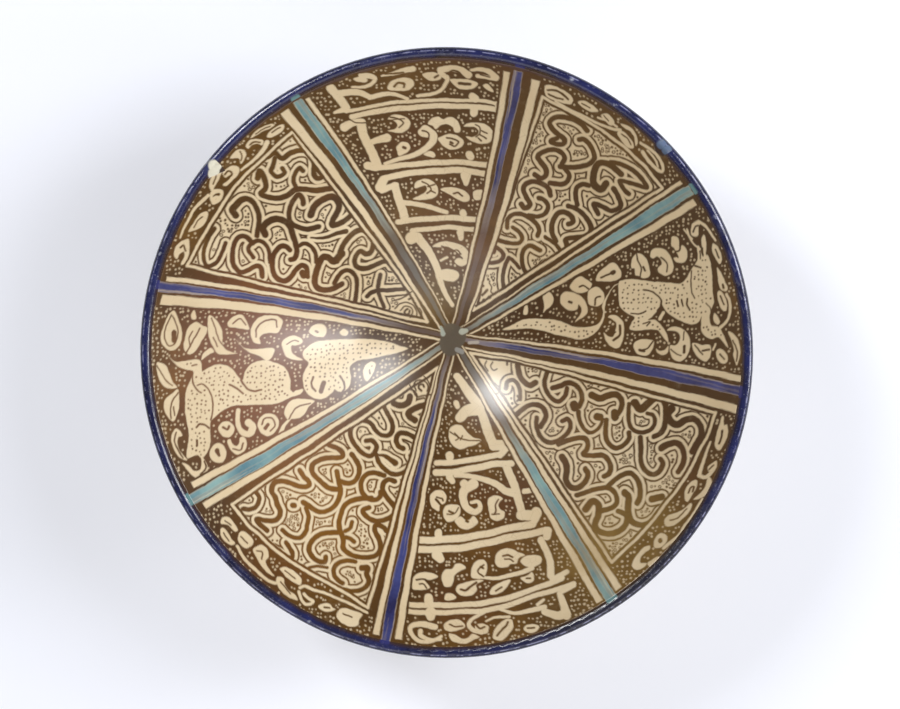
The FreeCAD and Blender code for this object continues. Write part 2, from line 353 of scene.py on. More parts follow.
# The lower row panel
low_leaves = [
    [(449, 431), (451, 427), (456, 424.5), (462, 426), (468, 433), (474, 438), (481, 440), (476, 445),
     (468, 447), (460, 449), (453, 445), (449, 438)],
    [(430, 500), (431, 494), (436, 490), (442, 490.5), (446, 496), (445, 503), (440, 506), (439, 511),
     (435, 510), (431, 506)],
    [(443, 512), (445, 507), (450, 504.5), (457, 505), (460, 509), (459, 516), (454, 521), (448, 522),
         (444, 518)],
    [(455, 521), (460, 517), (465, 520), (469, 520), (473, 516), (478, 521), (475, 526), (468, 529.5),
     (461, 528), (457, 525)],
    [(488, 501), (491, 497), (497, 496), (503, 499), (499, 504), (500, 509), (504, 512), (503, 518),
     (497, 521), (491, 518), (489, 510)],
    [(412, 588), (414, 578), (420, 572.5), (430, 572), (438, 576), (432, 579), (426, 580), (428, 584),
     (430, 588), (421, 590)],
    [(443, 584), (442, 576), (446, 570), (452, 569), (456, 564), (462, 564), (466, 568), (460, 571),
     (455, 575), (454, 581), (451, 586), (446, 587)],
    [(471, 577), (472, 568), (477, 561), (484, 560), (487, 565), (486, 573), (481, 579), (475, 579)],
    [(495, 560), (497, 553), (503, 549), (511, 549), (518, 552), (525, 555), (519, 558), (517, 563),
     (511, 564), (508, 567), (500, 568), (496, 565)],
    [(521, 560), (526, 556), (534, 555.5), (540, 557), (541, 563), (534, 567), (526, 566), (522, 563)],
    [(456, 590), (458, 585), (466, 582), (476, 580.5), (483, 581), (476, 585), (477, 590), (472, 595),
     (464, 596), (459, 594)],
    [(490, 594), (492, 588), (499, 583), (510, 580), (507, 587), (502, 592), (495, 595)],
    [(520, 578), (527, 575), (532, 572), (534, 577), (533, 581), (527, 583)],
    [(445, 600), (446, 594), (452, 593.5), (456, 597), (452, 600)],
    [(445, 630), (444, 625), (449, 621), (458, 620), (464, 623), (465, 627), (459, 630), (451, 632)],
    [(449, 634), (456, 635), (462, 639), (468, 638), (472, 634), (479, 637), (473, 640), (466, 644),
     (457, 643), (451, 640)],
    [(475, 627), (477, 624), (483, 623.5), (488, 627), (487, 633), (481, 634), (477, 632)],
    [(493, 638), (494, 631), (499, 624), (506, 619), (512, 620), (513, 627), (509, 633), (502, 640),
         (496, 640)],
    [(523, 629), (526, 625), (533, 624), (539, 627), (536, 632), (529, 633)],
]
low_stems = [
    ((8, 4), [(464, 484), (470, 487), (467, 487)]),
    # the first pair and its bracket
    (5.6, [(437, 463.5), (452, 462.5), (470, 460), (488, 457), (500, 454)]),
    (6.4, [(436, 473), (455, 472), (475, 468), (495, 464), (512, 463)]),
    (8, [(449, 455), (449.3, 457)]),
    ((7, 5), [(450, 477), (453, 482)]),
    ((7, 10), [(457, 376), (468, 392), (480, 408)]),
    (9, [(479, 407), (484, 420), (489, 435), (494, 446)]),
    (10, [(494, 445), (503, 445)]),
    ((7, 6), [(506, 448), (500, 455)]),
    ((13, 10), [(478, 409), (466, 411), (460, 417)]),
    ((6, 5), [(456, 403), (457, 406)]),
    ((4, 8), [(456, 476), (470, 476.5), (484, 479), (496, 484), (505, 491), (513, 493)]),
    (8, [(507, 466), (512, 480), (517, 495), (521, 508), (522, 516)]),
    # the second pair
    (7, [(421, 540), (440, 539.5), (465, 537.5), (490, 533), (515, 527), (532, 524)]),
    (7, [(419, 549.5), (440, 549), (465, 547), (490, 542.5), (515, 536.5), (545, 530.5)]),
    (7, [(438.5, 532), (438.5, 536)]),
    ((10, 7), [(437, 555), (441, 560)]),
    (10, [(521, 515), (533, 515), (537, 512)]),
    ((7, 6), [(538, 514), (533, 523)]),
    (8, [(548, 531), (547, 536)]),
    (7, [(541, 540), (546, 551), (550, 563), (551, 575)]),
    ((6, 5), [(553, 579), (561, 575), (567, 572)]),
    (5, [(524, 491), (531, 490)]),
    ((10, 3), [(473, 484), (465, 490), (463, 498), (466, 508), (474, 512), (480, 508), (478, 502),
         (471, 503)]),
    # the third pair
    (5.4, [(408, 604), (430, 605.5), (460, 605), (490, 602), (520, 594), (545, 585), (562, 578)]),
    (5, [(407, 611), (430, 613), (460, 612), (490, 609.5), (520, 601), (548, 592), (574, 584)]),
    (9, [(428.5, 598), (428.5, 602)]),
    ((11, 8), [(430, 613), (430.5, 617)]),
    ((3, 5), [(482, 578), (500, 578), (518, 573), (532, 568)]),
    ((3, 5), [(500, 609), (515, 613), (530, 611), (545, 607)]),
    ((7, 9), [(545, 612), (557, 616), (566, 613)]),
    ((9, 6), [(566, 615), (563, 603), (560, 594)]),
    (4, [(562, 592), (574, 586)]),
    (3, [(538, 605), (544, 600)]),
    ((3, 6), [(441, 637), (430, 642), (418, 640), (411, 632), (412, 626), (422, 624), (435, 627)]),
    ((3, 5), [(440, 640), (430, 640), (421, 635), (421, 631)]),
    ((3, 5), [(484, 612), (473, 618), (469, 624), (473, 630), (481, 632)]),
    ((2, 3), [(486, 621), (495, 617.5), (509, 616.5)]),
]
low_marks = [
    (1.4, [(450, 432), (457, 436), (462, 439), (470, 441), (480, 441)]),
    (1.4, [(455, 433), (459, 438), (456, 440)]),
    (1.4, [(463, 436), (461, 440)]),
    (2.4, [(436, 499), (439, 503), (442, 506)]),
    (1.8, [(437, 497), (442, 499), (443, 501)]),
    (2.2, [(449, 511), (453, 513)]),
    (1.5, [(447, 514), (454, 514), (458, 508)]),
    (2.4, [(466, 521), (468, 522)]),
    (1.6, [(499, 500), (496, 505), (496, 511), (494, 514)]),
    (1.5, [(492, 514), (499, 514)]),
    (2, [(417, 580), (424, 579), (428, 581)]),
    (1.6, [(420, 584), (424, 584), (427, 588)]),
    (1.4, [(456, 578), (461, 573), (468, 572)]),
    (1.4, [(457, 582), (462, 576), (468, 575)]),
    (1.8, [(484, 565), (479, 569), (478, 573), (483, 577)]),
    (2.4, [(481, 567), (483, 568)]),
    (2, [(503, 556), (508, 555), (513, 557)]),
    (1.6, [(505, 559), (510, 559), (514, 561)]),
    (2.4, [(461, 589), (466, 590), (470, 587), (476, 583)]),
    (1.8, [(496, 591), (502, 587)]),
    (2, [(526, 578), (530, 578)]),
    (1.6, [(450, 625), (456, 627), (463, 626)]),
    (1.8, [(457, 634), (462, 635), (467, 633)]),
    (2.2, [(497, 636), (502, 630), (506, 626), (508, 622)]),
    (2, [(527, 628), (534, 628)]),
    (2.2, [(474, 621), (479, 628), (484, 627)]),
]
# The right panel: a spotted long-eared animal among leaves
right_animal = [
    [(697, 262), (698, 255), (697, 247), (699, 246), (702, 255), (704, 256), (701, 240), (704, 235),
         (706, 246),
     (706, 255), (708, 256), (711, 263), (712, 275), (713, 290), (714, 302), (711, 310), (710, 320),
     (712, 326), (718, 327), (722, 332), (727, 343), (728, 347), (723, 342), (718, 337), (711, 339),
     (705, 336), (701, 330), (701, 323), (702, 316), (699, 321), (692, 324), (684, 322), (675, 318),
     (667, 312), (662, 304), (659, 296), (652, 291), (648, 286), (655, 282), (668, 283), (680, 284),
     (686, 278), (690, 271)],
    [(618, 284), (623, 280.5), (635, 279.5), (648, 281), (659, 284), (661, 292), (661, 301), (659, 309),
     (653, 316), (648, 320), (655, 320), (660, 324), (666, 333), (668, 342), (665, 340), (660, 333),
     (655, 330), (631, 330), (631, 323), (634, 317), (627, 313), (621, 307), (619, 299)],
    [(613, 286), (618, 284), (612, 288), (607, 297), (605, 306), (604, 316), (601, 324), (596, 332),
     (589, 337), (579, 339), (567, 337), (555, 335), (544, 331), (530, 329), (515, 329), (502, 329),
     (514, 324), (524, 320), (538, 318.5), (552, 319.5), (562, 322), (572, 326), (582, 327.5), (592, 326),
     (599, 322), (603, 313), (602, 306), (606, 296)],
]
right_seams = [
    (1.8, [(643, 290), (650, 291.5), (656, 295), (661, 300), (661, 307), (658, 311)]),
    (1.6, [(631, 313), (639, 313.5), (646, 311)]),
    (1.4, [(691, 271), (690.5, 282), (692, 292), (695, 298)]),
    (2.2, [(677, 301), (678, 306)]),
    (1.8, [(682, 300), (683, 306)]),
    (2, [(688, 299), (687.5, 305), (690, 310)]),
    (1.2, [(706, 303), (710, 308), (712, 314)]),
    (1.4, [(701, 259), (700, 251)]),
    (1.8, [(702, 248), (703, 255)]),
    (2, [(695, 266), (701, 268)]),
    (1.6, [(643, 324), (650, 322), (647, 326)]),
]
right_leaves = [
    [(525, 306), (528, 306), (528, 314), (524, 314)],
    [(543, 312), (544, 305), (543, 297), (545, 291), (551, 293), (554, 300), (551, 306), (546, 309)],
    [(561, 304), (561, 296), (565, 292), (572, 292), (581, 296), (586, 303), (587, 311), (583, 317),
     (575, 322), (580, 315), (581, 308), (578, 304), (577, 309), (571, 311), (566, 309)],
    [(570, 287), (575, 280), (581, 277), (587, 280), (592, 284), (588, 291), (582, 293), (576, 292)],
    [(589, 304), (588, 298), (589, 291), (595, 286.5), (600, 288), (604, 295), (603, 302), (598, 306),
         (593, 306)],
    [(596, 280), (598, 273), (604, 268), (612, 263), (618, 266), (621, 272), (620, 278), (613, 281),
         (604, 281)],
    [(631, 268), (632, 260), (636, 254), (641, 254), (646, 259), (649, 266), (650, 275), (644, 278),
     (639, 276), (635, 275), (634, 269)],
    [(650, 256), (652, 250), (658, 248), (665, 250), (671, 257), (674, 266), (672, 273), (666, 276),
     (660, 273), (658, 268), (662, 264), (661, 259), (657, 256), (653, 258)],
    [(671, 238), (674, 236.5), (678, 239), (679, 247), (682, 245), (686, 249), (687, 257), (684, 262),
     (677, 262), (674, 258), (678, 256), (674, 249), (671, 246)],
    [(612, 315), (618, 317), (623, 323), (624, 333), (622, 342), (618, 348), (612, 347), (607, 341),
     (604, 332), (609, 336), (614, 336), (616, 329), (616, 323), (611, 319), (608, 317)],
    [(634, 344), (640, 339.5), (650, 340), (654, 342), (653, 348), (649, 354), (643, 356), (637, 353)],
    [(656, 349), (660, 351), (665, 350), (668, 346), (668, 352), (664, 355), (658, 353)],
    [(667, 330), (672, 327), (680, 328), (687, 333), (690, 341), (689, 351), (685, 358), (679, 361),
     (673, 358), (670, 350), (670, 345), (675, 345), (679, 340), (679, 334), (674, 331)],
    [(692, 344), (696, 343), (702, 345), (709, 345), (711, 350), (710, 358), (705, 362), (698, 357),
         (694, 351)],
    [(716, 352), (719, 348.5), (723, 349.5), (727, 355), (727, 361), (723, 364), (718, 360)],
    [(728, 331), (734, 334), (739, 341), (740, 352), (738, 361), (736, 365), (733, 356), (734, 349),
         (732, 341)],
    [(691, 226), (693, 223), (698, 221), (700, 224), (698, 228), (698, 235), (695, 237), (691, 234)],
    [(712, 244), (716, 246), (720, 252), (722, 259), (720, 264), (716, 259), (712, 252)],
    [(717, 268), (720, 272), (724, 280), (728, 288), (726, 291), (721, 289), (718, 280)],
    [(718, 293), (721, 291), (725, 296), (727, 303), (726, 310), (722, 310), (719, 303)],
    [(714, 314), (717, 316), (720, 322), (718, 325), (714, 321)],
]
right_stems = [
    ((3, 2), [(699, 222), (706, 227), (711, 234), (715, 241)]),
    (1.6, [(692, 239), (687, 233), (684, 229)]),
    (1.6, [(700, 249), (693, 243), (689, 236), (687, 229)]),
    (2.6, [(727, 294), (730, 302), (729, 314), (726, 322), (720, 328)]),
    (3, [(660, 319), (664, 313)]),
    (2, [(713, 350), (715, 344)]),
]
right_marks = [
    (3, [(569, 302), (571, 302.5)]),
    (1.8, [(580, 287), (584, 286), (589, 289)]),
    (1.8, [(595, 305), (596, 298), (600, 296)]),
    (2, [(601, 277.5), (607, 275), (612, 273)]),
    (4.4, [(612.5, 273), (614, 272)]),
    (1.6, [(637, 254), (638, 262), (641, 268), (640, 277)]),
    (2.4, [(643, 267), (645, 270)]),
    (1.6, [(661, 257), (666, 261), (668, 266), (667, 272)]),
    (1.8, [(680, 240), (679, 250), (675, 252), (678, 257)]),
    (1.4, [(606, 332), (611, 335), (616, 332)]),
    (2.4, [(620, 326), (620, 335), (614, 340)]),
    (3, [(640, 350), (644, 351)]),
    (1.6, [(643, 350), (648, 348), (653, 342)]),
    (1.4, [(671, 349), (676, 353), (681, 355)]),
    (3, [(684, 346), (684, 352)]),
    (1.4, [(684, 332), (683, 340)]),
    (1.6, [(695, 345), (699, 350), (703, 355)]),
    (2.4, [(703, 351), (709, 350)]),
    (1.8, [(720, 354), (724, 359)]),
    (1.6, [(733, 340), (737, 350), (736, 361)]),
    (1.8, [(693, 232), (695, 227), (698, 226)]),
    (1.6, [(715, 250), (719, 258)]),
    (2.4, [(723, 285), (724, 288)]),
    (1.8, [(721, 296), (724, 304)]),
]
# The left panel: a second spotted animal, facing outwards, among leaves
left_animal = [
    [(170, 358), (176, 362), (184, 361), (192, 360), (199, 360), (202, 364), (202, 371), (206, 369),
     (214, 365), (222, 364.5), (231, 368), (238, 376), (243, 380), (245, 372), (250, 365), (258, 361.5),
     (268, 361), (280, 365), (287, 371), (290, 380), (291, 391), (302, 389), (300, 394), (290, 398),
     (280, 402.5), (268, 404.5), (250, 405), (236, 405), (224, 410), (216, 416), (211, 421), (210, 427),
     (210, 440), (209, 448), (206, 455), (202, 458), (198, 455), (192, 457), (187, 458), (187, 448),
     (189, 434), (187, 420), (185, 408), (186, 392), (190, 380), (193, 372), (186, 370), (178, 366)],
    [(303, 352), (309, 346), (318, 341.5), (332, 340), (346, 339.5), (356, 339), (366, 339.5), (378, 340),
     (390, 342), (400, 346), (408, 349), (398, 352.5), (388, 355), (374, 358), (362, 360), (356, 362),
     (351, 366), (350, 371), (351, 378), (349, 386), (343, 391), (338, 391), (334, 389), (332, 392),
     (326, 397.5), (319, 399.5), (311, 397), (305, 391), (303, 384), (303, 376), (306, 369), (309, 363),
     (304, 358)],
    [(363.5, 375), (363.5, 369), (366.5, 364), (371.5, 361.5), (375.5, 364), (374.5, 371), (371, 378),
     (367, 381.5)],
]
left_seams = [
    (1.6, [(192, 372), (192, 380), (194, 386), (198, 391), (201, 393)]),
    (1.6, [(197, 385), (202, 384), (207, 388), (211, 395), (213, 403), (213, 412), (211, 420)]),
    (2, [(241, 380), (247, 388), (254, 391), (262, 390)]),
    ((6, 3), [(289, 366), (295, 374), (297, 383), (293, 391)]),
    (2.2, [(313.5, 377), (311.5, 383), (312.5, 388), (315.5, 391.5)]),
    (4.6, [(323.5, 383), (322, 388), (321, 392)]),
    (2.2, [(340, 376), (343.5, 382), (344, 388), (341.5, 392)]),
    (1.8, [(369.5, 370), (370.5, 374)]),
    (2, [(197, 427), (200, 424), (205, 425), (209, 428)]),
    (2.4, [(197, 440), (197, 446)]),
    (2, [(230, 385), (237, 388), (243, 393)]),
    (1.6, [(192, 366), (197, 365)]),
]
left_leaves = [
    [(173, 311), (167, 318), (163, 328), (161, 338), (163, 345), (168, 350), (173, 351), (178, 347),
     (181, 340), (182, 330), (179, 320), (176, 313)],
    [(194, 310), (191, 315), (192, 319), (196, 319), (196, 314)],
    [(195, 322), (190, 326), (187, 331), (185, 338), (183, 345), (184, 350), (188, 354), (193, 353),
     (198, 347), (202, 340), (206, 334), (207, 328), (203, 326), (199, 323)],
    [(210, 315), (208, 322), (208, 332), (210, 341), (214, 349), (218, 354), (225, 355), (232, 354),
     (237, 353), (231, 352), (226, 350), (222, 345), (222, 338), (222, 331), (220, 325), (216, 319)],
    [(229, 327), (228, 323), (232, 318), (237, 315), (242, 315), (246, 320), (249, 326), (249, 330),
     (240, 329), (234, 328)],
    [(252, 340), (251, 332), (253, 325), (258, 318), (265, 315), (272, 314), (282, 320), (281, 328),
     (277, 333), (270, 333), (263, 334), (259, 338), (260, 344), (255, 343)],
    [(202, 360), (203, 354), (207, 350), (211, 348), (214, 352), (210, 354), (206, 357)],
    [(157, 363), (157, 372), (159, 380), (163, 386), (169, 389), (177, 388), (173, 383), (170, 375),
     (167, 367), (163, 364)],
    [(178, 390), (172, 394), (166, 399), (164, 405), (165, 412), (169, 418), (173, 421), (176, 418),
     (179, 410), (179, 402)],
    [(176, 428), (172, 433), (171, 440), (173, 447), (177, 454), (182, 459), (187, 460), (183, 455),
     (179, 450), (177, 443), (178, 437), (182, 436), (180, 431)],
    [(182, 463), (188, 465), (193, 470), (200, 469), (202, 461), (201, 456), (206, 461), (208, 469),
     (206, 476), (200, 478), (193, 476), (187, 470)],
    [(218, 429), (221, 423), (227, 421), (233, 425), (234, 431), (229, 437), (222, 436)],
    [(210, 452), (213, 445), (219, 443), (225, 448), (226, 455), (222, 462), (215, 462), (211, 458)],
    [(227, 441), (230, 449), (236, 455), (242, 453), (246, 447), (246, 440), (243, 437), (240, 438),
     (239, 443), (236, 446), (232, 443), (230, 439)],
    [(314, 401), (306, 399), (297, 399), (290, 402), (285, 408), (284, 414), (287, 419), (292, 419),
     (299, 418), (305, 413), (309, 406)],
    [(283, 350), (282, 343), (286, 338), (293, 335), (300, 337), (303, 342), (297, 345), (292, 345),
     (291, 350), (294, 355), (303, 360), (294, 360), (286, 357)],
    [(236, 340), (245, 348), (260, 349), (274, 349), (271, 358), (266, 361), (259, 356), (247, 351)],
    [(309, 331), (314, 325), (322, 324), (327, 329), (325, 336), (318, 337), (312, 335)],
    [(340, 332), (344, 329), (348, 332), (346, 336), (341, 335)],
    [(258, 425), (261, 417), (268, 413), (276, 416), (279, 424), (275, 432), (268, 436), (261, 433)],
]
left_stems = [
    ((4, 8), [(238, 410), (238, 425), (243, 433), (250, 434), (253, 427), (249, 423)]),
    ((2, 5), [(290, 419), (284, 426), (281, 434)]),
    (3, [(217, 470), (222, 466)]),
]
left_marks = [
    (1.4, [(172, 315), (166, 326), (165, 338), (169, 346), (175, 343), (178, 331), (175, 320), (173, 316)]),
    ((5, 5), [(174, 332), (174, 341)]),
    (1.5, [(185, 354), (189, 347), (193, 340), (197, 334), (200, 328)]),
    (1.4, [(190, 346), (189, 338), (193, 331)]),
    (1.4, [(212, 318), (215, 327), (217, 336), (220, 343), (226, 349)]),
    (1.4, [(213, 338), (217, 347)]),
    (1.5, [(233, 324), (240, 319), (246, 325)]),
    (1.6, [(256, 337), (257, 328), (264, 321), (275, 320), (277, 327)]),
    (1.4, [(157, 366), (161, 373), (166, 381), (172, 386)]),
    (1.5, [(171, 418), (171, 409), (173, 400), (178, 393)]),
    (1.4, [(175, 415), (174, 407)]),
    (1.5, [(176, 432), (174, 441), (178, 450), (183, 458)]),
    (2.4, [(223, 427), (227, 429), (229, 426)]),
    ((4.6, 3), [(217, 450), (219, 455)]),
    (1.5, [(233, 449), (240, 450), (243, 443)]),
    (1.5, [(289, 419), (292, 413), (296, 408), (302, 405), (310, 403)]),
    (3.4, [(268, 424), (265, 428)]),
    (1.6, [(262, 424), (265, 418), (272, 418), (275, 425), (270, 431)]),
    (2.4, [(316, 331), (318, 332)]),
    (1.4, [(287, 344), (294, 340), (299, 341)]),
    (1.8, [(200, 474), (206, 468), (205, 461)]),
]
# The strapwork of the upper left panel
upper_left_straps = [
    (6.5, [(258, 178), (260, 171), (264, 178), (266, 188), (261, 193), (268, 197), (277, 198), (287, 195),
           (295, 190), (305, 189.5), (318, 190.5), (333, 188.5)]),
    (6, [(268, 157), (275, 153), (282, 158), (290, 153), (300, 150.5), (308, 152), (313, 157), (314, 165),
         (314, 174), (318, 179), (323, 176), (318, 171)]),
    (5.5, [(275, 158), (273, 166), (271, 172), (277, 177), (284, 173), (282, 168)]),
    (5.5, [(303, 171), (299, 168), (295, 173), (293.5, 181), (296, 188)]),
    (6, [(303, 204), (302, 199), (298, 195), (293, 200), (290, 208), (289, 216), (291, 223), (297, 227),
         (307, 229), (319, 227)]),
    ((8, 6), [(311, 215), (313, 209), (318, 203), (324, 199), (331, 197), (336, 200), (339, 206),
         (337, 213),
              (333, 220), (332, 225), (340, 223), (347, 219), (351, 215)]),
    ((2.5, 6), [(311, 237), (320, 238), (328, 237), (337, 233), (346, 231)]),
    ((8, 5.5), [(235, 215), (232, 210), (236, 205), (242, 200), (248, 199), (254, 203), (258, 212),
         (259, 222),
                (257, 236)]),
    ((8, 6), [(265, 234), (263, 228), (268, 222), (276, 219), (284, 221), (290, 227), (293, 235),
         (296, 243),
              (297, 252), (294, 259), (290, 260)]),
    (6, [(252, 243), (247, 237), (241, 236), (236, 240), (233, 248), (232.5, 258), (234, 266), (240, 272),
         (248, 270), (256, 266), (261, 268), (262, 276)]),
    (5, [(253, 257), (248, 249), (252, 243), (259, 240.5), (265, 244), (269, 252), (270, 262)]),
    (6, [(290, 250), (286, 246.5), (280, 247), (274, 254), (272, 263), (273, 272), (278, 279), (285, 281),
         (291, 277), (296, 270), (302, 265.5), (307, 268), (308, 276)]),
    (8, [(303, 273), (304, 275)]),
    (5, [(299, 246), (305, 243), (311, 246), (315, 253), (316, 262)]),
    ((8, 6), [(342, 253), (334, 261), (328, 258), (322, 258), (318, 266), (315, 280), (317, 287),
         (324, 290),
              (333, 289), (342, 284)]),
    (5.5, [(334, 284), (338, 277), (344, 271), (351, 271), (356, 277), (357, 287), (355, 303)]),
    (6, [(337, 261), (341, 250), (345, 242), (351, 235), (359, 230), (366, 231), (371, 237), (373, 245),
         (371, 252), (366, 254), (360, 251), (356, 256), (355, 262), (358, 267), (366, 268), (375, 265),
         (383, 262), (389, 262), (392, 266)]),
    (5, [(381, 275), (379, 283), (378, 290), (380, 298), (384, 307)]),
    (5, [(367, 297), (371, 293), (379, 290), (390, 290), (404, 289)]),
    (5, [(215, 228), (209, 236), (204, 250), (204, 260), (208, 266), (217, 262), (222, 252), (225, 243)]),
]
# The strapwork of the upper right panel
upper_right_straps = [
    (6, [(587, 131), (581, 124), (573, 119), (563, 117), (554, 118), (549, 123), (552, 129), (558, 134),
         (564, 139), (563, 144), (556, 144), (551, 141), (557, 138)]),
    (6, [(579, 140), (584, 140), (590, 145), (594, 153), (594, 159), (589, 164), (581, 166), (572, 167),
         (560, 167)]),
    (6, [(535, 174), (541, 178), (546, 175), (546, 169), (542, 163), (538, 157), (541, 153), (549, 150),
         (557, 150.5), (563, 154), (565, 159), (562, 165), (566, 170), (569, 175), (567, 181), (561, 184),
         (550, 183)]),
    (6, [(551, 196), (549, 189), (543, 184), (534, 181), (526, 184), (523, 190), (526, 197), (530, 204),
         (525, 208), (521, 204)]),
    (5.5, [(539, 198), (544, 200), (548, 206), (545, 213), (538, 216), (529, 215)]),
    ((7, 8), [(621, 174), (614, 168), (606, 163), (599, 163), (595, 168), (593, 176), (594, 184),
         (601, 189),
              (606, 184)]),
    (6, [(613, 189), (618, 197), (621, 206), (612, 211), (603, 207), (594, 204), (598, 214)]),
    (5.5, [(610, 162), (620, 164), (630, 168), (638, 175), (644, 182), (646, 188), (634, 184), (620, 181),
           (623, 189), (629, 194)]),
    (6, [(568, 206), (575, 208), (582, 213), (588, 221), (591, 229), (587, 236), (577, 238), (566, 239),
         (567, 245)]),
    (6, [(577, 204), (576, 196), (577, 188), (583, 184), (589, 185)]),
    (6, [(556, 241), (552, 232), (552, 222), (557, 214), (564, 212), (571, 216), (573, 222), (568, 224)]),
    (5.5, [(507, 228), (508, 220), (513, 215), (521, 214), (529, 217), (536, 223), (539, 230), (537, 236)]),
    (5, [(513, 228), (519, 232), (522, 238), (519, 243), (510, 243), (495, 239)]),
    (5, [(545, 237), (552, 241), (558, 247), (562, 254), (560, 261), (545, 266)]),
    (5.5, [(528, 275), (524, 268), (522, 258), (524, 250), (530, 246), (540, 250)]),
    (5, [(484, 263), (492, 263), (500, 261), (504, 256), (502, 251), (496, 247), (494, 252)]),
    (5, [(509, 258), (505, 266), (503, 276), (504, 287), (506, 297)]),
    (4.5, [(509, 258), (514, 262), (520, 268)]),
]
# The strapwork of the lower right panel
lower_right_straps = [
    (6.5, [(518, 357), (518.5, 367), (520, 376), (524, 382), (530, 385), (536, 382)]),
    (5, [(505.5, 389), (507.5, 382), (513, 380), (517, 384), (519.5, 391), (520, 399)]),
    (5.5, [(547, 371), (545, 382), (547, 391), (552, 398), (559, 401), (565, 396), (567, 388)]),
    (6, [(553, 388), (560, 386), (568, 383), (576, 385), (581, 391), (582, 399), (579, 407)]),
    (9, [(574, 405), (575, 408)]),
    (6, [(515, 416), (522, 410), (530, 405), (538, 405), (544, 409), (546, 417), (540, 427)]),
    (5.5, [(537, 418), (536, 426), (539, 435), (546, 441), (554, 442), (562, 439), (568, 432), (570, 424),
           (567, 419), (562, 421)]),
    (6, [(559, 444), (568, 441), (578, 438), (585, 438.5), (588, 443), (587, 449), (583, 455), (592, 455.5),
         (602, 455), (608, 459), (611, 466), (609, 473), (604, 476)]),
    ((8, 6), [(562, 457), (566, 464), (567, 472), (566, 480), (571, 487), (579, 487), (586, 481),
         (588, 474),
              (585, 469)]),
    (6, [(577, 495), (587, 492), (598, 489), (608, 488), (615, 493), (617, 501), (612, 507), (600, 511)]),
    (6, [(607, 487), (614, 480), (622, 475), (631, 473), (637, 479), (640, 488), (640, 497), (637, 503)]),
    ((8, 6), [(586, 509), (592, 502), (598, 505), (598, 515), (595, 525), (600, 532), (610, 534),
         (620, 530),
              (626, 523), (626, 515), (618, 511)]),
    ((8, 6), [(625, 492), (629, 497), (628, 507), (629, 516), (634, 523), (644, 525), (654, 520),
         (660, 512)]),
    ((8, 6), [(592, 395), (600, 399), (608, 396), (616, 394.5), (621, 398), (622.5, 404), (620, 411),
              (616, 416)]),
    (9, [(614.5, 413), (615, 417)]),
    ((5.5, 4), [(578.5, 412), (579.5, 420), (583, 428), (589, 433), (595, 431.5), (600, 426),
         (602.5, 419)]),
    (8, [(596.5, 416.5), (599.5, 417)]),
    (6, [(606, 420), (606, 432), (608, 442), (615, 448), (623, 446), (629, 439), (629, 433)]),
    (5, [(629.5, 404), (628.5, 412), (628.5, 421), (631, 428), (637, 431.5), (645, 432), (652, 429),
         (655, 422), (653, 415),
         (647, 413)]),
    ((9, 5.5), [(635, 403), (640, 409), (648, 403), (656, 397), (662, 398), (666, 405), (666, 416),
         (664, 427),
                (660, 434), (654, 437)]),
    ((9, 6), [(672, 409), (668, 415), (671, 422), (678, 425), (686, 420), (694, 419), (700, 425),
         (701, 434),
              (697, 443), (692, 452)]),
    ((8, 6), [(662, 448), (668, 445), (676, 443), (682, 448), (684, 456), (682, 465), (678, 472)]),
    (6, [(641, 437), (641, 448), (641, 460), (645, 470), (652, 475), (659, 472), (663, 464), (661, 459)]),
    (8, [(652, 499), (662, 497)]),
]
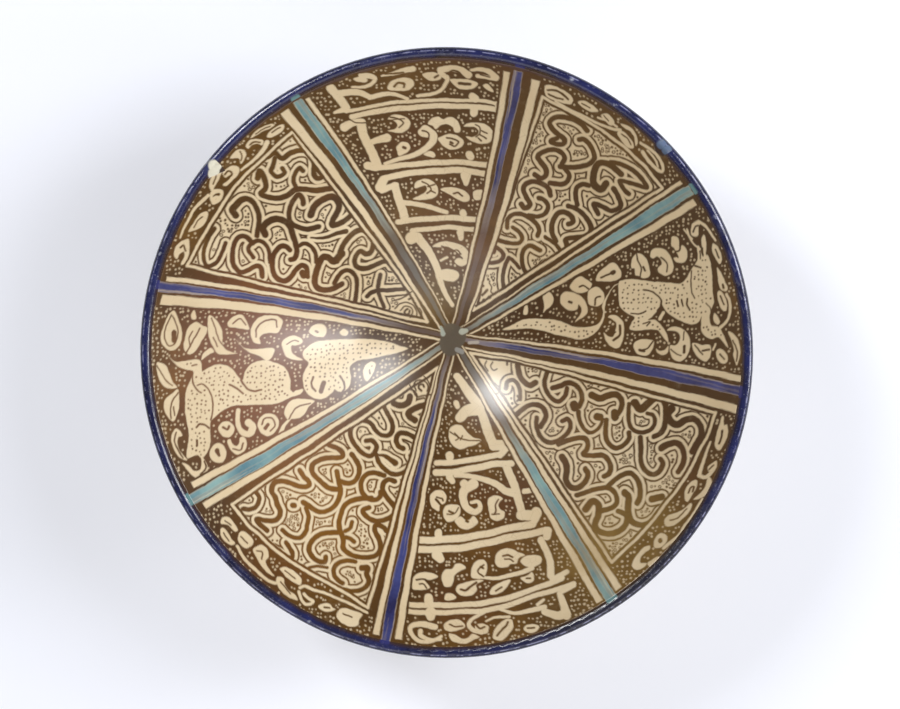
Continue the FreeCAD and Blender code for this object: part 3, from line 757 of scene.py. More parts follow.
# The strapwork of the lower left panel
lower_left_straps = [
    (7, [(394, 403.5), (398, 405), (403, 405), (408, 402.5), (410, 397)]),
    (7, [(424, 405), (418, 407), (411, 410.5), (408.5, 413), (410, 416.5), (415, 420)]),
    (6, [(416, 438), (408, 434), (400, 433), (396.5, 436), (396, 441), (399, 446), (403, 448)]),
    (5.5, [(382, 404), (388, 414), (392, 422), (392, 430), (388, 435), (381, 435), (375, 430), (371, 424),
           (365, 420.5), (357, 421), (352, 426), (350, 434), (352, 441), (357, 447), (363, 453), (370, 456),
           (375, 451), (376, 446), (372, 441), (366, 441)]),
    (5.5, [(376, 455), (379, 462), (384, 468), (391, 473), (399, 474), (406, 471), (412, 466), (413, 461),
           (410, 455)]),
    ((3, 7), [(378, 455), (385, 456), (391, 460), (395, 463)]),
    (6, [(352, 454), (356, 460), (359, 467), (359, 474), (356, 480), (351, 483), (345, 483), (339, 481)]),
    (6, [(329, 445), (337, 448), (342, 452), (343, 456), (340, 458), (330, 458), (321, 459), (314, 463),
         (312, 469), (314, 475), (320, 481), (327, 487), (334, 489), (339, 489)]),
    (6, [(337, 472), (338, 480), (340, 490), (339, 498), (335, 505), (328, 510), (320, 512), (313, 509),
         (308, 505), (303, 502)]),
    (5.5, [(306, 508), (308.5, 517), (307, 526), (306, 531), (301, 537), (295, 538), (288, 535),
         (283, 530)]),
    (6, [(384, 475), (375, 473), (367, 475), (362, 481), (361, 488), (363, 494), (369, 499), (376, 500),
         (380, 496), (380, 492)]),
    (6, [(395, 481), (389, 479), (384, 482), (382, 488), (384, 494), (389, 500), (394, 505), (396, 510),
         (393, 515), (386, 519), (377, 521), (369, 519), (364, 514), (364, 510), (369, 508)]),
    (6, [(371, 498), (360, 499), (350, 502), (344, 507), (341, 514), (339, 522), (340, 530), (342, 536),
         (343, 541), (343, 547), (347, 552), (354, 556), (364, 557), (374, 556), (379, 552), (380, 546),
         (378, 538), (375, 531), (375, 526), (379, 525), (384, 528), (386, 531)]),
    (5, [(345, 531), (350, 528), (352, 522)]),
    (5, [(345, 537), (350, 539), (354, 542)]),
    (6, [(341, 532), (335, 532), (325, 533), (316, 537), (310, 543), (309, 550), (313, 557), (319, 561),
         (325, 561), (326, 557)]),
    (5.5, [(355, 562), (347, 561), (339, 563), (334, 568), (334, 575), (338, 580), (342, 583)]),
    ((7, 5), [(362, 568), (368, 568), (367, 574), (369, 580), (366, 586), (359, 590), (350, 591),
         (343, 589)]),
    (6, [(300, 470), (304, 477), (308, 481), (309, 485), (305, 487), (298, 486), (291, 483), (284, 481),
         (277, 482), (273, 486), (272, 492), (275, 497), (277, 505), (280, 511), (279, 517), (274, 521),
         (266, 521), (258, 519), (258, 522), (262, 527), (267, 531)]),
    (5.5, [(256, 493), (259, 498), (258, 504), (255, 508), (249, 510), (243, 509)]),
    (6, [(292, 505), (294, 505)]),
    (5.5, [(286, 543), (290, 549), (293, 554), (292, 558), (287, 557), (280, 554), (273, 550)]),
    (4, [(309, 568), (318, 566), (327, 567)]),
]
# The outer borders' leaves, set in the lustre beyond each strapwork panel's chord
border_leaves = [
    # upper left
    [(251, 138), (256, 131), (262, 127), (270, 124), (274, 124.5), (270, 128), (263, 131), (257, 135)],
    [(267, 136), (270, 131), (275, 127), (281, 124), (284, 125), (283, 130), (278, 134), (271, 137)],
    [(246, 146), (250, 140.5), (257, 139), (263, 140), (262, 144.5), (257, 143.5), (252, 145), (248, 149)],
    [(230, 158), (236, 151), (243, 150), (246, 154), (244, 160), (241, 164), (239, 159), (235, 158.5)],
    [(223, 185), (229, 180), (231, 175), (226, 178), (223, 174), (228, 168), (234, 165.5), (239, 168),
     (238, 174), (233, 180), (227, 186)],
    [(209, 187), (211, 179), (215, 172), (220, 170), (222, 173), (219, 180), (215, 186), (212, 192)],
    [(210, 200), (210, 194), (213, 190), (218, 189), (223, 190.5), (223.5, 196), (220, 202), (213, 205)],
    [(189, 232), (193, 224), (198, 217), (203, 212.5), (208, 212), (208, 218), (204, 225), (197, 230)],
    [(174, 256), (175, 248), (179, 243), (185, 240), (189, 240), (189, 248), (188, 256), (184, 264),
     (181, 264), (184, 256), (183, 252), (179, 255), (177, 259)],
    # upper right
    [(545, 86), (552, 85), (560, 88), (568, 93), (573, 99), (571, 104), (565, 103.5), (558, 101),
         (551, 98.5),
     (546, 95)],
    [(578, 103), (583, 101), (589, 103), (595, 107), (598, 111), (590, 111.5), (583, 108)],
    [(601, 115), (606, 113), (611, 116), (615, 123), (611, 126), (605, 120)],
    [(617, 133), (622, 131), (628, 137), (633, 143), (634, 148), (628, 148), (622, 142)],
    [(621, 124), (628, 126), (634, 132), (638, 141), (636, 146), (634, 138), (629, 131), (624, 128)],
    [(668, 189), (675, 183), (681, 180), (682, 184), (676, 188), (669, 191)],
    # lower right
    [(722, 417), (724, 418), (724, 425), (727, 425), (728, 432), (726, 440), (722, 448), (719, 451),
     (715, 447), (715, 440), (717, 431), (720, 424)],
    [(708, 466), (712, 463), (716, 461), (715, 467), (711, 472), (708, 470)],
    [(685, 500), (685, 492), (689, 484), (694, 480), (697, 481), (696, 489), (692, 496), (688, 502)],
    [(709, 477), (712, 480), (711, 487), (706, 495), (700, 499), (694, 500), (700, 494), (705, 487),
         (707, 480)],
    [(664, 521), (668, 515.5), (675, 513), (683, 510), (690, 504), (692, 506), (688, 514), (681, 520),
     (673, 525), (666, 526)],
    [(654, 541), (657, 535), (662, 533), (667, 537), (666, 543), (661, 547), (655, 547)],
    [(632, 566), (634, 560), (639, 553), (644, 547), (650, 545), (650, 549), (645, 553), (641, 558),
     (641, 563), (647, 563), (644, 567), (637, 570)],
    [(648, 563), (652, 560), (658, 556), (660, 559), (656, 564), (650, 567)],
    # lower left
    [(221, 524), (222, 519), (226, 517), (230, 518), (234, 523), (238, 529), (236, 531), (232, 529),
         (228, 525)],
    [(220, 530), (221, 537), (226, 542), (231, 545), (235, 543), (232, 539), (228, 533), (223, 528)],
    [(240, 532), (238, 538), (240, 544), (246, 548), (252, 545), (253, 541), (249, 535), (244, 531)],
    [(253, 550), (256, 547), (262, 545), (267, 549), (268, 556), (265, 562), (270, 570), (275, 576),
     (268, 573), (260, 565), (256, 557)],
    [(280, 569), (284, 567), (290, 569), (296, 573), (301, 579), (300, 585), (294, 583), (287, 578),
         (282, 572)],
    [(278, 577), (277, 583), (281, 591), (288, 597), (297, 600), (295, 595), (289, 591), (285, 585),
         (284, 579)],
    [(318, 606), (323, 603), (329, 604), (332, 608), (335, 610), (328, 612), (322, 610)],
    [(337, 613), (341, 609), (348, 609), (362, 614), (359, 620), (357, 626), (350, 627), (342, 623),
         (337, 618)],
]
border_stems = [
    ((5, 2), [(267, 142), (263, 149), (257, 156), (250, 163), (241, 170)]),
    ((3.5, 2), [(208, 196), (200, 203), (194, 210), (189, 219), (184, 229), (180, 238)]),
    ((2, 3), [(556, 101), (570, 110), (585, 117), (600, 124), (612, 129), (620, 130)]),
    (2, [(598, 117), (608, 121), (617, 127)]),
    ((2.6, 3.6), [(641, 143), (650, 149), (658, 157), (663, 166), (662, 172), (655, 168), (648, 161),
         (643, 152)]),
    (2, [(648, 151), (655, 160), (658, 167)]),
    ((2, 4), [(710, 442), (706, 454), (702, 465), (699, 475)]),
    ((4, 3.4), [(699, 475), (704, 477), (709, 475), (714, 468), (715, 463)]),
    ((2, 3), [(703, 499), (697, 508), (690, 519), (684, 526), (679, 534), (672, 541), (664, 548)]),
    (3, [(237, 546), (241, 554), (247, 562), (254, 569), (262, 576), (270, 581), (276, 583)]),
    (2.6, [(312, 589), (325, 593), (340, 600), (355, 606), (367, 613)]),
    (3, [(300, 588), (305, 586), (312, 589)]),
    (3, [(299, 592), (301, 599), (305, 604), (310, 604), (313, 601), (308, 598), (304, 594)]),
]
border_marks = [
    (1.2, [(256, 134), (263, 129), (270, 126)]),
    (1.5, [(272, 132), (276, 129), (280, 127)]),
    (1.6, [(250, 145), (254, 142), (260, 142)]),
    (1.5, [(240, 152), (242, 157), (241, 161)]),
    (2, [(225, 175), (229, 171), (232, 174), (228, 178)]),
    (1.5, [(213, 184), (216, 178), (217, 174)]),
    ((1, 3), [(213, 197), (216, 195), (219, 194.5)]),
    (1.4, [(194, 228), (198, 221), (203, 217)]),
    (2, [(180, 248), (183, 246), (185, 251)]),
    (2.2, [(548, 90), (556, 90), (563, 94), (568, 99)]),
    (2, [(549, 94), (556, 97), (563, 99)]),
    (1.4, [(582, 104), (590, 108)]),
    (1.2, [(604, 115), (609, 121)]),
    (1.4, [(621, 134), (627, 139), (631, 145)]),
    (2.4, [(722, 431), (721, 438), (719, 444)]),
    (1.6, [(709, 469), (713, 465)]),
    (2, [(689, 493), (691, 488), (694, 487), (693, 492)]),
    (1.4, [(670, 520), (679, 517), (687, 509)]),
    (4, [(660, 540), (660.5, 541)]),
    (1.4, [(225, 521), (231, 525)]),
    (1.4, [(223, 533), (229, 541)]),
    (1.5, [(241, 536), (247, 543)]),
    (1.5, [(257, 551), (262, 552), (261, 559)]),
    (1.4, [(285, 571), (295, 579)]),
    (1.4, [(281, 582), (290, 594)]),
    (2, [(324, 607), (329, 608)]),
    (1.6, [(343, 614), (352, 617)]),
]

# The middle, where the stripes meet, and how a stripe narrows and wavers on its way there
hub = (452.5, 338.5)
colour_root_share = 0.34
dark_root_share = 0.46
bare_root_share = 0.14
stripe_margin = 4
stripe_overrun = 20
stripe_lap = 1
stripe_spread = 1.6
# A bow is given at the middle of the way, where share * (1 - share) is a quarter
bow_peak = 4
stripe_wave_share, stripe_wave_turns = 0.14, 13
stripe_start_share = 0.2
# The streaks run along a stripe: their widths, how deep or pale they are, and how they wander
streak_widths = {COBALT: (1.5, 1.1, 0.9), TURQUOISE: (1.5, 2.6, 0.9)}
root_mixtures = {COBALT: (0.92, 0.16, 0.0), TURQUOISE: (0.92, 0.08, 0.14)}
pale_share = 0.5
deep_share, deep_mixture = 0.6, (0.45, 0.2, 0.0)
track_share, track_step_share, track_wander_share = 0.85, 0.8, 0.25
track_turns, track_more_turns = 6, 2
fade_depth, fade_turns, fade_more_turns = 1.2, 7, 3
hub_outline = [(444, 326), (452, 323), (460, 327), (466, 333), (466, 341), (461, 348), (457, 354),
               (449, 356), (443, 352), (440, 344), (441, 335)]
hub_mixture = (0.97, 0.0, 0.12)
# The pools of glaze where stripes end at the middle: width, line and mixture
hub_pools = [
    ((2.2, 4.6), [(440.5, 327), (442.8, 334)], (0.1, 0.0, 0.6)),
    ((4.5, 6.5), [(466, 331), (462.5, 332)], (0.1, 0.0, 0.5)),
    (4.5, [(457, 350), (462, 352)], (0.35, 0.4, 0.25)),
    (3.0, [(470, 343), (478, 342)], (0.0, 0.4, 0.1)),
]
# The stripes: rim end, bow at the middle, colour, half the colour's width, and the far
# edges of the lustre line and of the bare line beyond it on the clockwise and the
# counter-clockwise side, all at the rim, and the share of the way where its colour starts
stripes = [
    ((298.3, 102.8), -6, TURQUOISE, 4.5, (7.5, 12), (11.5, 21), 0.42),
    ((517.8, 74.6), -5, COBALT, 4.4, (14.5, 23), (8.5, 14.5), 0.4),
    ((688, 191), -1, TURQUOISE, 5.6, (9.5, 17), (9.5, 13.5), 0.05),
    ((740, 391), 4, COBALT, 5.5, (14.5, 23), (9, 15.5), 0.0),
    ((609.1, 595.4), 0, TURQUOISE, 5.6, (8, 15), (8, 15), 0.32),
    ((386, 637), -3, COBALT, 4.6, (7.5, 13.5), (9, 16), 0.05),
    ((198.4, 495.6), 4, TURQUOISE, 6.0, (9, 16), (8, 15), 0.0),
    ((164, 287), -6, COBALT, 4.2, (6.5, 11), (7.5, 18), 0.16),
]
# The chords that close the strapwork panels
upper_left_chord = [(293, 132), (275, 147), (255, 166), (245, 175), (235, 187), (226, 200), (219, 211),
                    (205, 233), (194, 252), (187, 266)]
upper_right_chord = [(543, 97), (560, 106), (580, 117), (600, 129), (615, 140), (630, 152), (645, 167),
                     (662, 188)]
lower_right_chord = [(716, 413), (706, 438), (695, 460), (684, 480), (669, 500), (654, 520), (636, 540),
                     (612, 562)]
lower_left_chord = [(368, 608), (357, 600), (345, 593), (330, 584), (313, 575), (300, 567), (290, 561),
                    (275, 550), (262, 538), (250, 527), (240, 515), (232, 504)]
# Each strapwork panel: its bands, its chord and its corner near the middle, clockwise
strap_panels = [
    (upper_left_straps, upper_left_chord, [(427, 322.5), (411.5, 291)]),
    (upper_right_straps, upper_right_chord, [(473.5, 310.5), (478.5, 285)]),
    (lower_right_straps, lower_right_chord, [(470, 353), (520, 360.5)]),
    (lower_left_straps, lower_left_chord, [(438.5, 367)]),
]
# Scrolls and dots at the panels' inner corners
corner_marks = [
    (2.2, [(407, 309), (404.5, 311), (405.5, 314), (408.5, 313.5), (409, 310.5)]),
    (1.6, [(395, 308), (399, 304), (405, 302.5), (410, 303.5), (414, 307), (416, 312), (416.5, 317)]),
    (1.5, [(400.5, 310), (403.5, 306.5), (408, 306.5), (411.5, 309), (412, 313), (410, 317)]),
    (1.5, [(419, 308), (421, 312), (420, 317)]),
    (1.5, [(412, 291), (406, 296), (400, 299), (394, 300)]),
    (2.6, [(409, 299), (412, 297.5)]),
    (2.6, [(414, 302), (415, 303)]),
    (3.2, [(481, 285.5), (482.5, 286)]),
    (2.8, [(482, 294.5), (484, 293), (487, 290)]),
    (3.4, [(489, 297), (490, 297)]),
    (3.2, [(483.5, 299.5), (484.5, 300)]),
    (3.2, [(478, 302), (479, 303)]),
    (2.2, [(475.5, 306), (476.5, 306)]),
    (1.5, [(489, 283), (491.5, 287), (491, 292), (495, 294)]),
    (1.7, [(416.5, 391), (414.5, 386), (416, 381.5), (421, 380), (426, 382.5), (428, 387), (427, 391)]),
    (2.2, [(421.5, 391), (419, 388.5), (419.5, 385.5), (422.5, 384.5), (424, 387)]),
    (1.6, [(410, 385), (413, 391), (417, 397), (422, 396), (431, 394)]),
    (1.5, [(424, 376), (428, 381), (430, 387)]),
    (1.5, [(487, 361), (485.5, 366), (488, 371)]),
    (1.4, [(493, 362), (491, 366), (493, 370), (497, 369)]),
    (2.4, [(507, 362), (507.5, 365)]),
    (1.6, [(512, 370), (513, 372)]),
    (1.5, [(495, 383), (500, 388), (497, 394), (493, 391)]),
    (2.4, [(494, 396), (496, 397)]),
    (2.2, [(517, 396), (519, 399), (517, 401)]),
    (1.6, [(502, 396), (506, 400), (508, 406)]),
]
# The strapwork: how far from a band the line round it runs, how much thinner than given a
# band is drawn, that line's width, how far a band laps the chord's line, and where the
# open ground begins. A panel's chord is a bare line with a lustre line inside it
strap_halo = 3.5
strap_thinning = 0.35
strap_line = 1.9
strap_lap = 1
open_gap = 5.6
panel_margin = 14
chord_bare = 2.8
chord_line = 2.6

# Dots: the size of a grid cell, the dot's radius, and how far all round it the ground must go on
light_cell, light_radii, light_room = 4.3, (0.65, 1.2), 2.6
light_mixture = (0.2, 0.0, 0.0)
dark_cell, dark_radii, dark_room = 4.6, (0.7, 1.05), 2.2
fill_cell, fill_radii, fill_room = 3.5, (0.95, 1.4), 0.4
light_seed, dark_seed, fill_seed = 5, 8, 9
dot_place_shares = (0.18, 0.82)
# Some marks of the strapwork's fill are rings: how many, how much wider, and their hole
ring_share, ring_growth, ring_hole_share = 0.4, 1.4, 0.42
ground_match = 0.1
no_dot = -9.0
# The reach round the middle that stays without dots, and without marks of the fill
plain_middle = 30
corner_reach = 66

# How far the hand wavers, and the turns a pixel of its slow and its quick waves
slow_shake, quick_shake = 0.6, 0.16
slow_turns, slow_bends = (0.13, 0.05, 0.09, 0.07), (2, 1.3)
quick_turns = (0.71, 0.31, 0.57, 0.29)

# The brown ground along the rim
rim_ground_width = 9.4
rim_blend_width = 8.4
rim_blend_mixture = (1.0, 0.15, 0.0)
rim_ragged = 0.9
rim_ragged_turns = (0.21, 0.17)


def strap_distance(spots, straps):
    """The distance of spots to the nearest band, measured only near the bands."""
    gap = np.full(len(spots), far_away)
    for widths, points in straps:
        widths = both_widths(widths)
        line = smooth_line(points)
        reach = open_gap + max(widths)
        low, high = line.min(axis=0) - reach, line.max(axis=0) + reach
        close = np.nonzero(((spots > low) & (spots < high)).all(axis=1))[0]
        gap[close] = np.minimum(gap[close], distance(spots[close], line, widths))
    return gap


def beyond(last, before):
    """A point on the line from before to last, carried on past last by the panel's margin."""
    run = last - before
    return last + run / np.hypot(*run) * panel_margin


def paint_straps(canvas, straps, chord, corner):
    """Bands of lustre in halos of bare glaze, each halo with a thin line round it."""
    corners = np.array(corner + chord, float)
    where = canvas.near(np.array([hub] + chord, float), panel_margin)
    if not len(where):
        return
    spots = canvas.spots[where]
    edge = distance(spots, np.vstack([corners, corners[:1]]))
    depth = np.where(inside(spots, corners), edge, -edge)
    gap = strap_distance(spots, straps)
    room = depth - chord_bare / 2 - chord_line
    canvas.lay(where, depth + chord_bare / 2, BARE)
    canvas.lay(where, np.minimum(room, strap_line / 2 - abs(gap - strap_halo)), LUSTRE)
    canvas.lay(where, np.minimum(room + strap_lap, -gap - strap_thinning), LUSTRE)
    canvas.lay(where, chord_line / 2 - abs(depth - (chord_bare + chord_line) / 2), LUSTRE)
    line = np.array(chord, float)
    whole = np.vstack([[hub], [beyond(line[0], line[1])], line, [beyond(line[-1], line[-2])]])
    canvas.zone[where[inside(spots, whole)]] = PLAIN_ZONE
    canvas.zone[where] = np.where(depth > 0, STRAP_ZONE, canvas.zone[where])
    canvas.zone[where] = np.where(np.minimum(room, gap - open_gap) > 0, OPEN_ZONE, canvas.zone[where])


def paint_leaves(canvas, leaves, stems, marks):
    """Leaves and stems left in the bare glaze, with lustre marks on them."""
    for outline in leaves:
        canvas.shape(outline)
    for widths, points in stems:
        canvas.stroke(points, widths, BARE)
    for widths, points in marks:
        canvas.stroke(points, widths)


def paint_animals(canvas):
    """The two animals in bare glaze, with their seams."""
    for outline in right_animal + left_animal:
        canvas.shape(outline)
        smooth = smooth_line(outline, closed=True)
        where = canvas.near(smooth, 0)
        canvas.zone[where[inside(canvas.spots[where], smooth)]] = ANIMAL_ZONE
    for widths, points in right_seams + left_seams:
        canvas.stroke(points, widths)


def paint_figures(canvas):
    """Everything in the panels and the borders but the dots."""
    canvas.paint[:] = LUSTRE
    paint_leaves(canvas, border_leaves, border_stems, border_marks)
    for straps, chord, corner in strap_panels:
        paint_straps(canvas, straps, chord, corner)
    paint_leaves(canvas, [], [], corner_marks)
    paint_leaves(canvas, top_leaves, top_stems, top_marks)
    paint_leaves(canvas, low_leaves, low_stems, low_marks)
    paint_leaves(canvas, right_leaves, right_stems, right_marks)
    paint_leaves(canvas, left_leaves, left_stems, left_marks)
    paint_animals(canvas)
    from_hub = np.hypot(*(canvas.spots - hub).T)
    canvas.zone[from_hub < plain_middle] = PLAIN_ZONE
    canvas.zone[(from_hub < corner_reach) & (canvas.zone == OPEN_ZONE)] = PLAIN_ZONE


def ground_goes_on(centres, room, colour, zones):
    """Which dots have their ground and one of their zones at the middle and room away on four sides."""
    sides = np.array([(0, 0), (1, 0), (-1, 0), (0, 1), (0, -1)]) * room
    probe = Canvas((centres.reshape(-1, 1, 2) + sides).reshape(-1, 2))
    paint_figures(probe)
    ground = round(1 - colour[0])
    keep = (abs(probe.paint[:, 0] - ground) < ground_match).reshape(-1, len(sides)).all(axis=1)
    keep &= np.isin(probe.zone.reshape(-1, len(sides)), zones).all(axis=1)
    return keep.reshape(centres.shape[:2])


def paint_dots(canvas, seed, cell, radii, room, colour, zones, hollow_share=0):
    """Dots on a shaken grid in some zones, kept where the ground goes on all round them."""
    dice = np.random.default_rng(seed)
    low = np.array(rim_centre) - max(rim_reach) - cell
    count = int(2 * (max(rim_reach) + cell) / cell) + 2
    steps = np.stack(np.meshgrid(np.arange(count), np.arange(count), indexing="ij"), axis=2)
    centres = low + (steps + dice.uniform(*dot_place_shares, steps.shape)) * cell
    sizes = dice.uniform(*radii, steps.shape[:2])
    hollow = dice.uniform(0, 1, sizes.shape) < hollow_share
    sizes = np.where(hollow, sizes * ring_growth, sizes)
    holes = np.where(hollow, sizes * ring_hole_share, no_dot)
    sizes = np.where(ground_goes_on(centres, room, colour, zones), sizes, no_dot)
    home = ((canvas.spots - low) / cell).astype(int)
    depth = np.full(len(home), no_dot)
    for i in (-1, 0, 1):
        for j in (-1, 0, 1):
            a = np.clip(home[:, 0] + i, 0, count - 1)
            b = np.clip(home[:, 1] + j, 0, count - 1)
            off = canvas.spots - centres[a, b]
            away = np.hypot(off[:, 0], off[:, 1])
            depth = np.maximum(depth, np.minimum(sizes[a, b] - away, away - holes[a, b]))
    canvas.lay(np.arange(len(home)), depth, colour)


def rim_distance(spots):
    """How far inside the rim spots lie."""
    share = np.hypot(*((spots - rim_centre) / rim_reach).T)
    return (1 - share) * min(rim_reach)


def paint_stripe(canvas, end, bow, colour, half, clockwise, counter, start_share):
    """A radial stripe of coloured glaze between lustre lines and bare lines."""
    run = np.array(end, float) - hub
    length = np.hypot(*run)
    run = run / length
    side = np.array((run[1], -run[0]))
    reach = max(clockwise + counter) + stripe_margin
    where = canvas.near(np.array([hub, np.array(end) + run * stripe_overrun]), reach)
    off = canvas.spots[where] - hub
    share = off @ run / length
    across = off @ side - bow * bow_peak * share * (1 - share)
    growth = np.clip(share, 0, 1)
    ahead = share * length
    short = rim_distance(canvas.spots[where]) - rim_distance(np.array([end]))
    for sign, widths in ((-1, clockwise), (1, counter)):
        paint_stripe_side(canvas, where, across * sign, widths, growth, ahead, short)
    width = half * (colour_root_share + (1 - colour_root_share) * growth)
    width = width * (1 + stripe_wave_share * np.sin(share * stripe_wave_turns + end[0]))
    depth = np.minimum(width - abs(across), ahead)
    seen = np.clip((share - start_share) / stripe_start_share, 0, 1)[:, None]
    root = np.array(root_mixtures[colour]) * (1 - seen)
    canvas.lay(where, depth, np.array(colour) * seen + root)
    pale = np.array(colour) * pale_share
    deep = np.array(colour) * deep_share + np.array(deep_mixture)
    for n, (line, streak) in enumerate(zip(streak_widths[colour], (pale, deep, deep))):
        wander = track_wander_share * np.sin(share * (track_turns + track_more_turns * n) + end[1] + n)
        track = width * (track_share - track_step_share * n + wander)
        fade = np.sin(share * (fade_turns + fade_more_turns * n) + end[0] * n) * fade_depth
        streak_depth = line / 2 + np.minimum(fade, 0) - abs(across - track)
        canvas.lay(where, np.minimum(depth, streak_depth), streak * seen + root)


def paint_stripe_side(canvas, where, at, widths, growth, ahead, short):
    """The lustre line and the bare line on one side of a stripe, which both widen outwards."""
    dark, bare = widths
    inner = dark * (dark_root_share + (1 - dark_root_share) * growth)
    outer = inner + (bare - dark) * (bare_root_share + (1 - bare_root_share) * growth)
    dark_edge = outer + stripe_lap + stripe_spread * growth
    canvas.lay(where, np.minimum.reduce([at + stripe_lap, dark_edge - at, ahead]), LUSTRE)
    canvas.lay(where, np.minimum.reduce([at - inner, outer - at, ahead, short]), BARE)


def paint_rim(canvas):
    """The lustre ground that meets the lip band, with a little cobalt in it."""
    inward = rim_distance(canvas.spots)
    everywhere = np.arange(len(inward))
    x, y = (canvas.spots * rim_ragged_turns).T
    ragged = rim_ragged * np.sin(x) * np.cos(y)
    canvas.lay(everywhere, rim_ground_width - inward + ragged, LUSTRE)
    canvas.lay(everywhere, rim_blend_width - inward + ragged, rim_blend_mixture)


def paint_hub(canvas):
    """The small pool of glaze where the stripes meet."""
    canvas.shape(hub_outline, hub_mixture)
    for widths, points, mixture in hub_pools:
        canvas.stroke(points, widths, mixture)


def wave(along, aside):
    """How far the hand is off at two coordinates, slowly and quickly."""
    first, second, third, fourth = slow_turns
    bend = slow_bends[0] * np.sin(aside * second)
    other_bend = slow_bends[1] * np.sin(along * fourth)
    slow = np.sin(along * first + bend) * np.cos(aside * third + other_bend)
    first, second, third, fourth = quick_turns
    quick = np.sin(along * first + aside * second) * np.sin(aside * third - along * fourth)
    return slow_shake * slow + quick_shake * quick


def shaken(spots):
    """The spots moved a little, so that lines waver as under a hand."""
    x, y = spots[:, 0], spots[:, 1]
    return spots + np.stack([wave(y, x), wave(x, y)], axis=1)


def paint_inside(spots):
    """The whole painting of the inside, on spots given in photograph pixels."""
    canvas = Canvas(shaken(spots))
    paint_figures(canvas)
    paint_dots(canvas, light_seed, light_cell, light_radii, light_room, light_mixture, [GROUND_ZONE])
    paint_dots(canvas, dark_seed, dark_cell, dark_radii, dark_room, LUSTRE, [ANIMAL_ZONE])
    paint_dots(canvas, fill_seed, fill_cell, fill_radii, fill_room, LUSTRE, [OPEN_ZONE], ring_share)
    for stripe in stripes:
        paint_stripe(canvas, *stripe)
    paint_rim(canvas)
    paint_hub(canvas)
    return canvas


# Meshes
def linked(name, data):
    """A new thing in the scene."""
    thing = bpy.data.objects.new(name, data)
    bpy.context.collection.objects.link(thing)
    return thing


class Shell:
    """A mesh built up ring by ring about the axis."""

    def __init__(self):
        self.points = []
        self.faces = []
        self.last = None

    def ring(self, radius, height, count, lift=None):
        """Adds a ring and joins it to the one before, which may have twice or half its count."""
        first = len(self.points)
        for n in range(count):
            turn = 2 * math.pi * n / count
            r, z = (radius, height) if lift is None else lift(n / count)
            self.points.append((r * math.cos(turn), r * math.sin(turn), z))
        if self.last is not None:
            self.join(self.last, (first, count))
        self.last = (first, count)

    def join(self, old, new):
        """Faces between two rings, each given by its first point and its count."""
        (a, na), (b, nb) = old, new
        if nb == 1:
            self.faces += [(a + n, a + (n + 1) % na, b) for n in range(na)]
        elif na == 1:
            self.faces += [(a, b + (n + 1) % nb, b + n) for n in range(nb)]
        elif na == nb:
            for n in range(na):
                m = (n + 1) % na
                self.faces.append((a + n, a + m, b + m, b + n))
        elif na == 2 * nb:
            for n in range(nb):
                m = (n + 1) % nb
                p, q, r = a + 2 * n, a + 2 * n + 1, a + (2 * n + 2) % na
                self.faces += [(p, q, b + n), (q, b + m, b + n), (q, r, b + m)]
        else:
            for n in range(na):
                m = (n + 1) % na
                p, q, r = b + 2 * n, b + 2 * n + 1, b + (2 * n + 2) % nb
                self.faces += [(a + n, q, p), (a + n, a + m, q), (a + m, r, q)]

    def piece(self, name):
        """The mesh as a smooth thing in the scene."""
        mesh = bpy.data.meshes.new(name)
        points = np.array(self.points) * mm
        mesh.from_pydata(points.tolist(), [], self.faces)
        mesh.polygons.foreach_set("use_smooth", [True] * len(mesh.polygons))
        mesh.update()
        return linked(name, mesh)


# The inside shell: the steps along its front and its back, and how many points its rings
# have, a number that halves towards the middle
fine_step = 0.36
back_step = 6.0
full_count = 1728
least_count = 27
full_count_radius = 50
axis_radius = 0.01


def count_at(radius):
    """How many points a ring of the inside shell has."""
    count = full_count
    while count > least_count and radius < full_count_radius * count / full_count:
        count //= 2
    return count


def section_spots(step, shift):
    """Points along the inside section from the axis to the lip band, step apart."""
    band = wall.share_back(lip_band_inside)
    spots = []
    for bend, last in ((well, 1.0), (wall, band)):
        steps = max(2, round(bend.radius * bend.turn * last / step))
        first = 0 if bend is well else 1
        spots += [bend.point(last * n / steps, shift) for n in range(first, steps + 1)]
    return spots


def rings_of(shell, spots, inward):
    """Rings through section points, going out from the axis or back to it."""
    count = shell.last[1] if shell.last else 1
    for radius, height in (reversed(spots) if inward else spots):
        wanted = 1 if radius < axis_radius else count_at(radius)
        if count > 1 and wanted > 1:
            wanted = count // 2 if wanted < count else min(wanted, 2 * count)
        count = wanted
        shell.ring(radius, height, count)


def sunk_under_fills(points):
    """The points, with those that a plaster fill covers pushed into the wall."""
    turn_out = np.array((math.sin(wall.angle(1)), -math.cos(wall.angle(1))))
    turn_up = np.array((math.cos(wall.angle(1)), math.sin(wall.angle(1))))
    for azimuth, length, reach, shares in plaster_fills:
        turn = math.radians(azimuth)
        away = points[:, 0] * math.cos(turn) + points[:, 1] * math.sin(turn)
        side = points[:, 1] * math.cos(turn) - points[:, 0] * math.sin(turn)
        down = (np.array(wall.point(1)) - np.stack([away, points[:, 2]], axis=1)) @ turn_up
        outline = np.array(shares) * (length, reach)
        hit = inside(np.stack([side, down], axis=1), outline) & (away > 0)
        out = np.array((math.cos(turn) * turn_out[0], math.sin(turn) * turn_out[0], turn_out[1]))
        points = np.where(hit[:, None], points + out * fill_sink, points)
    return points


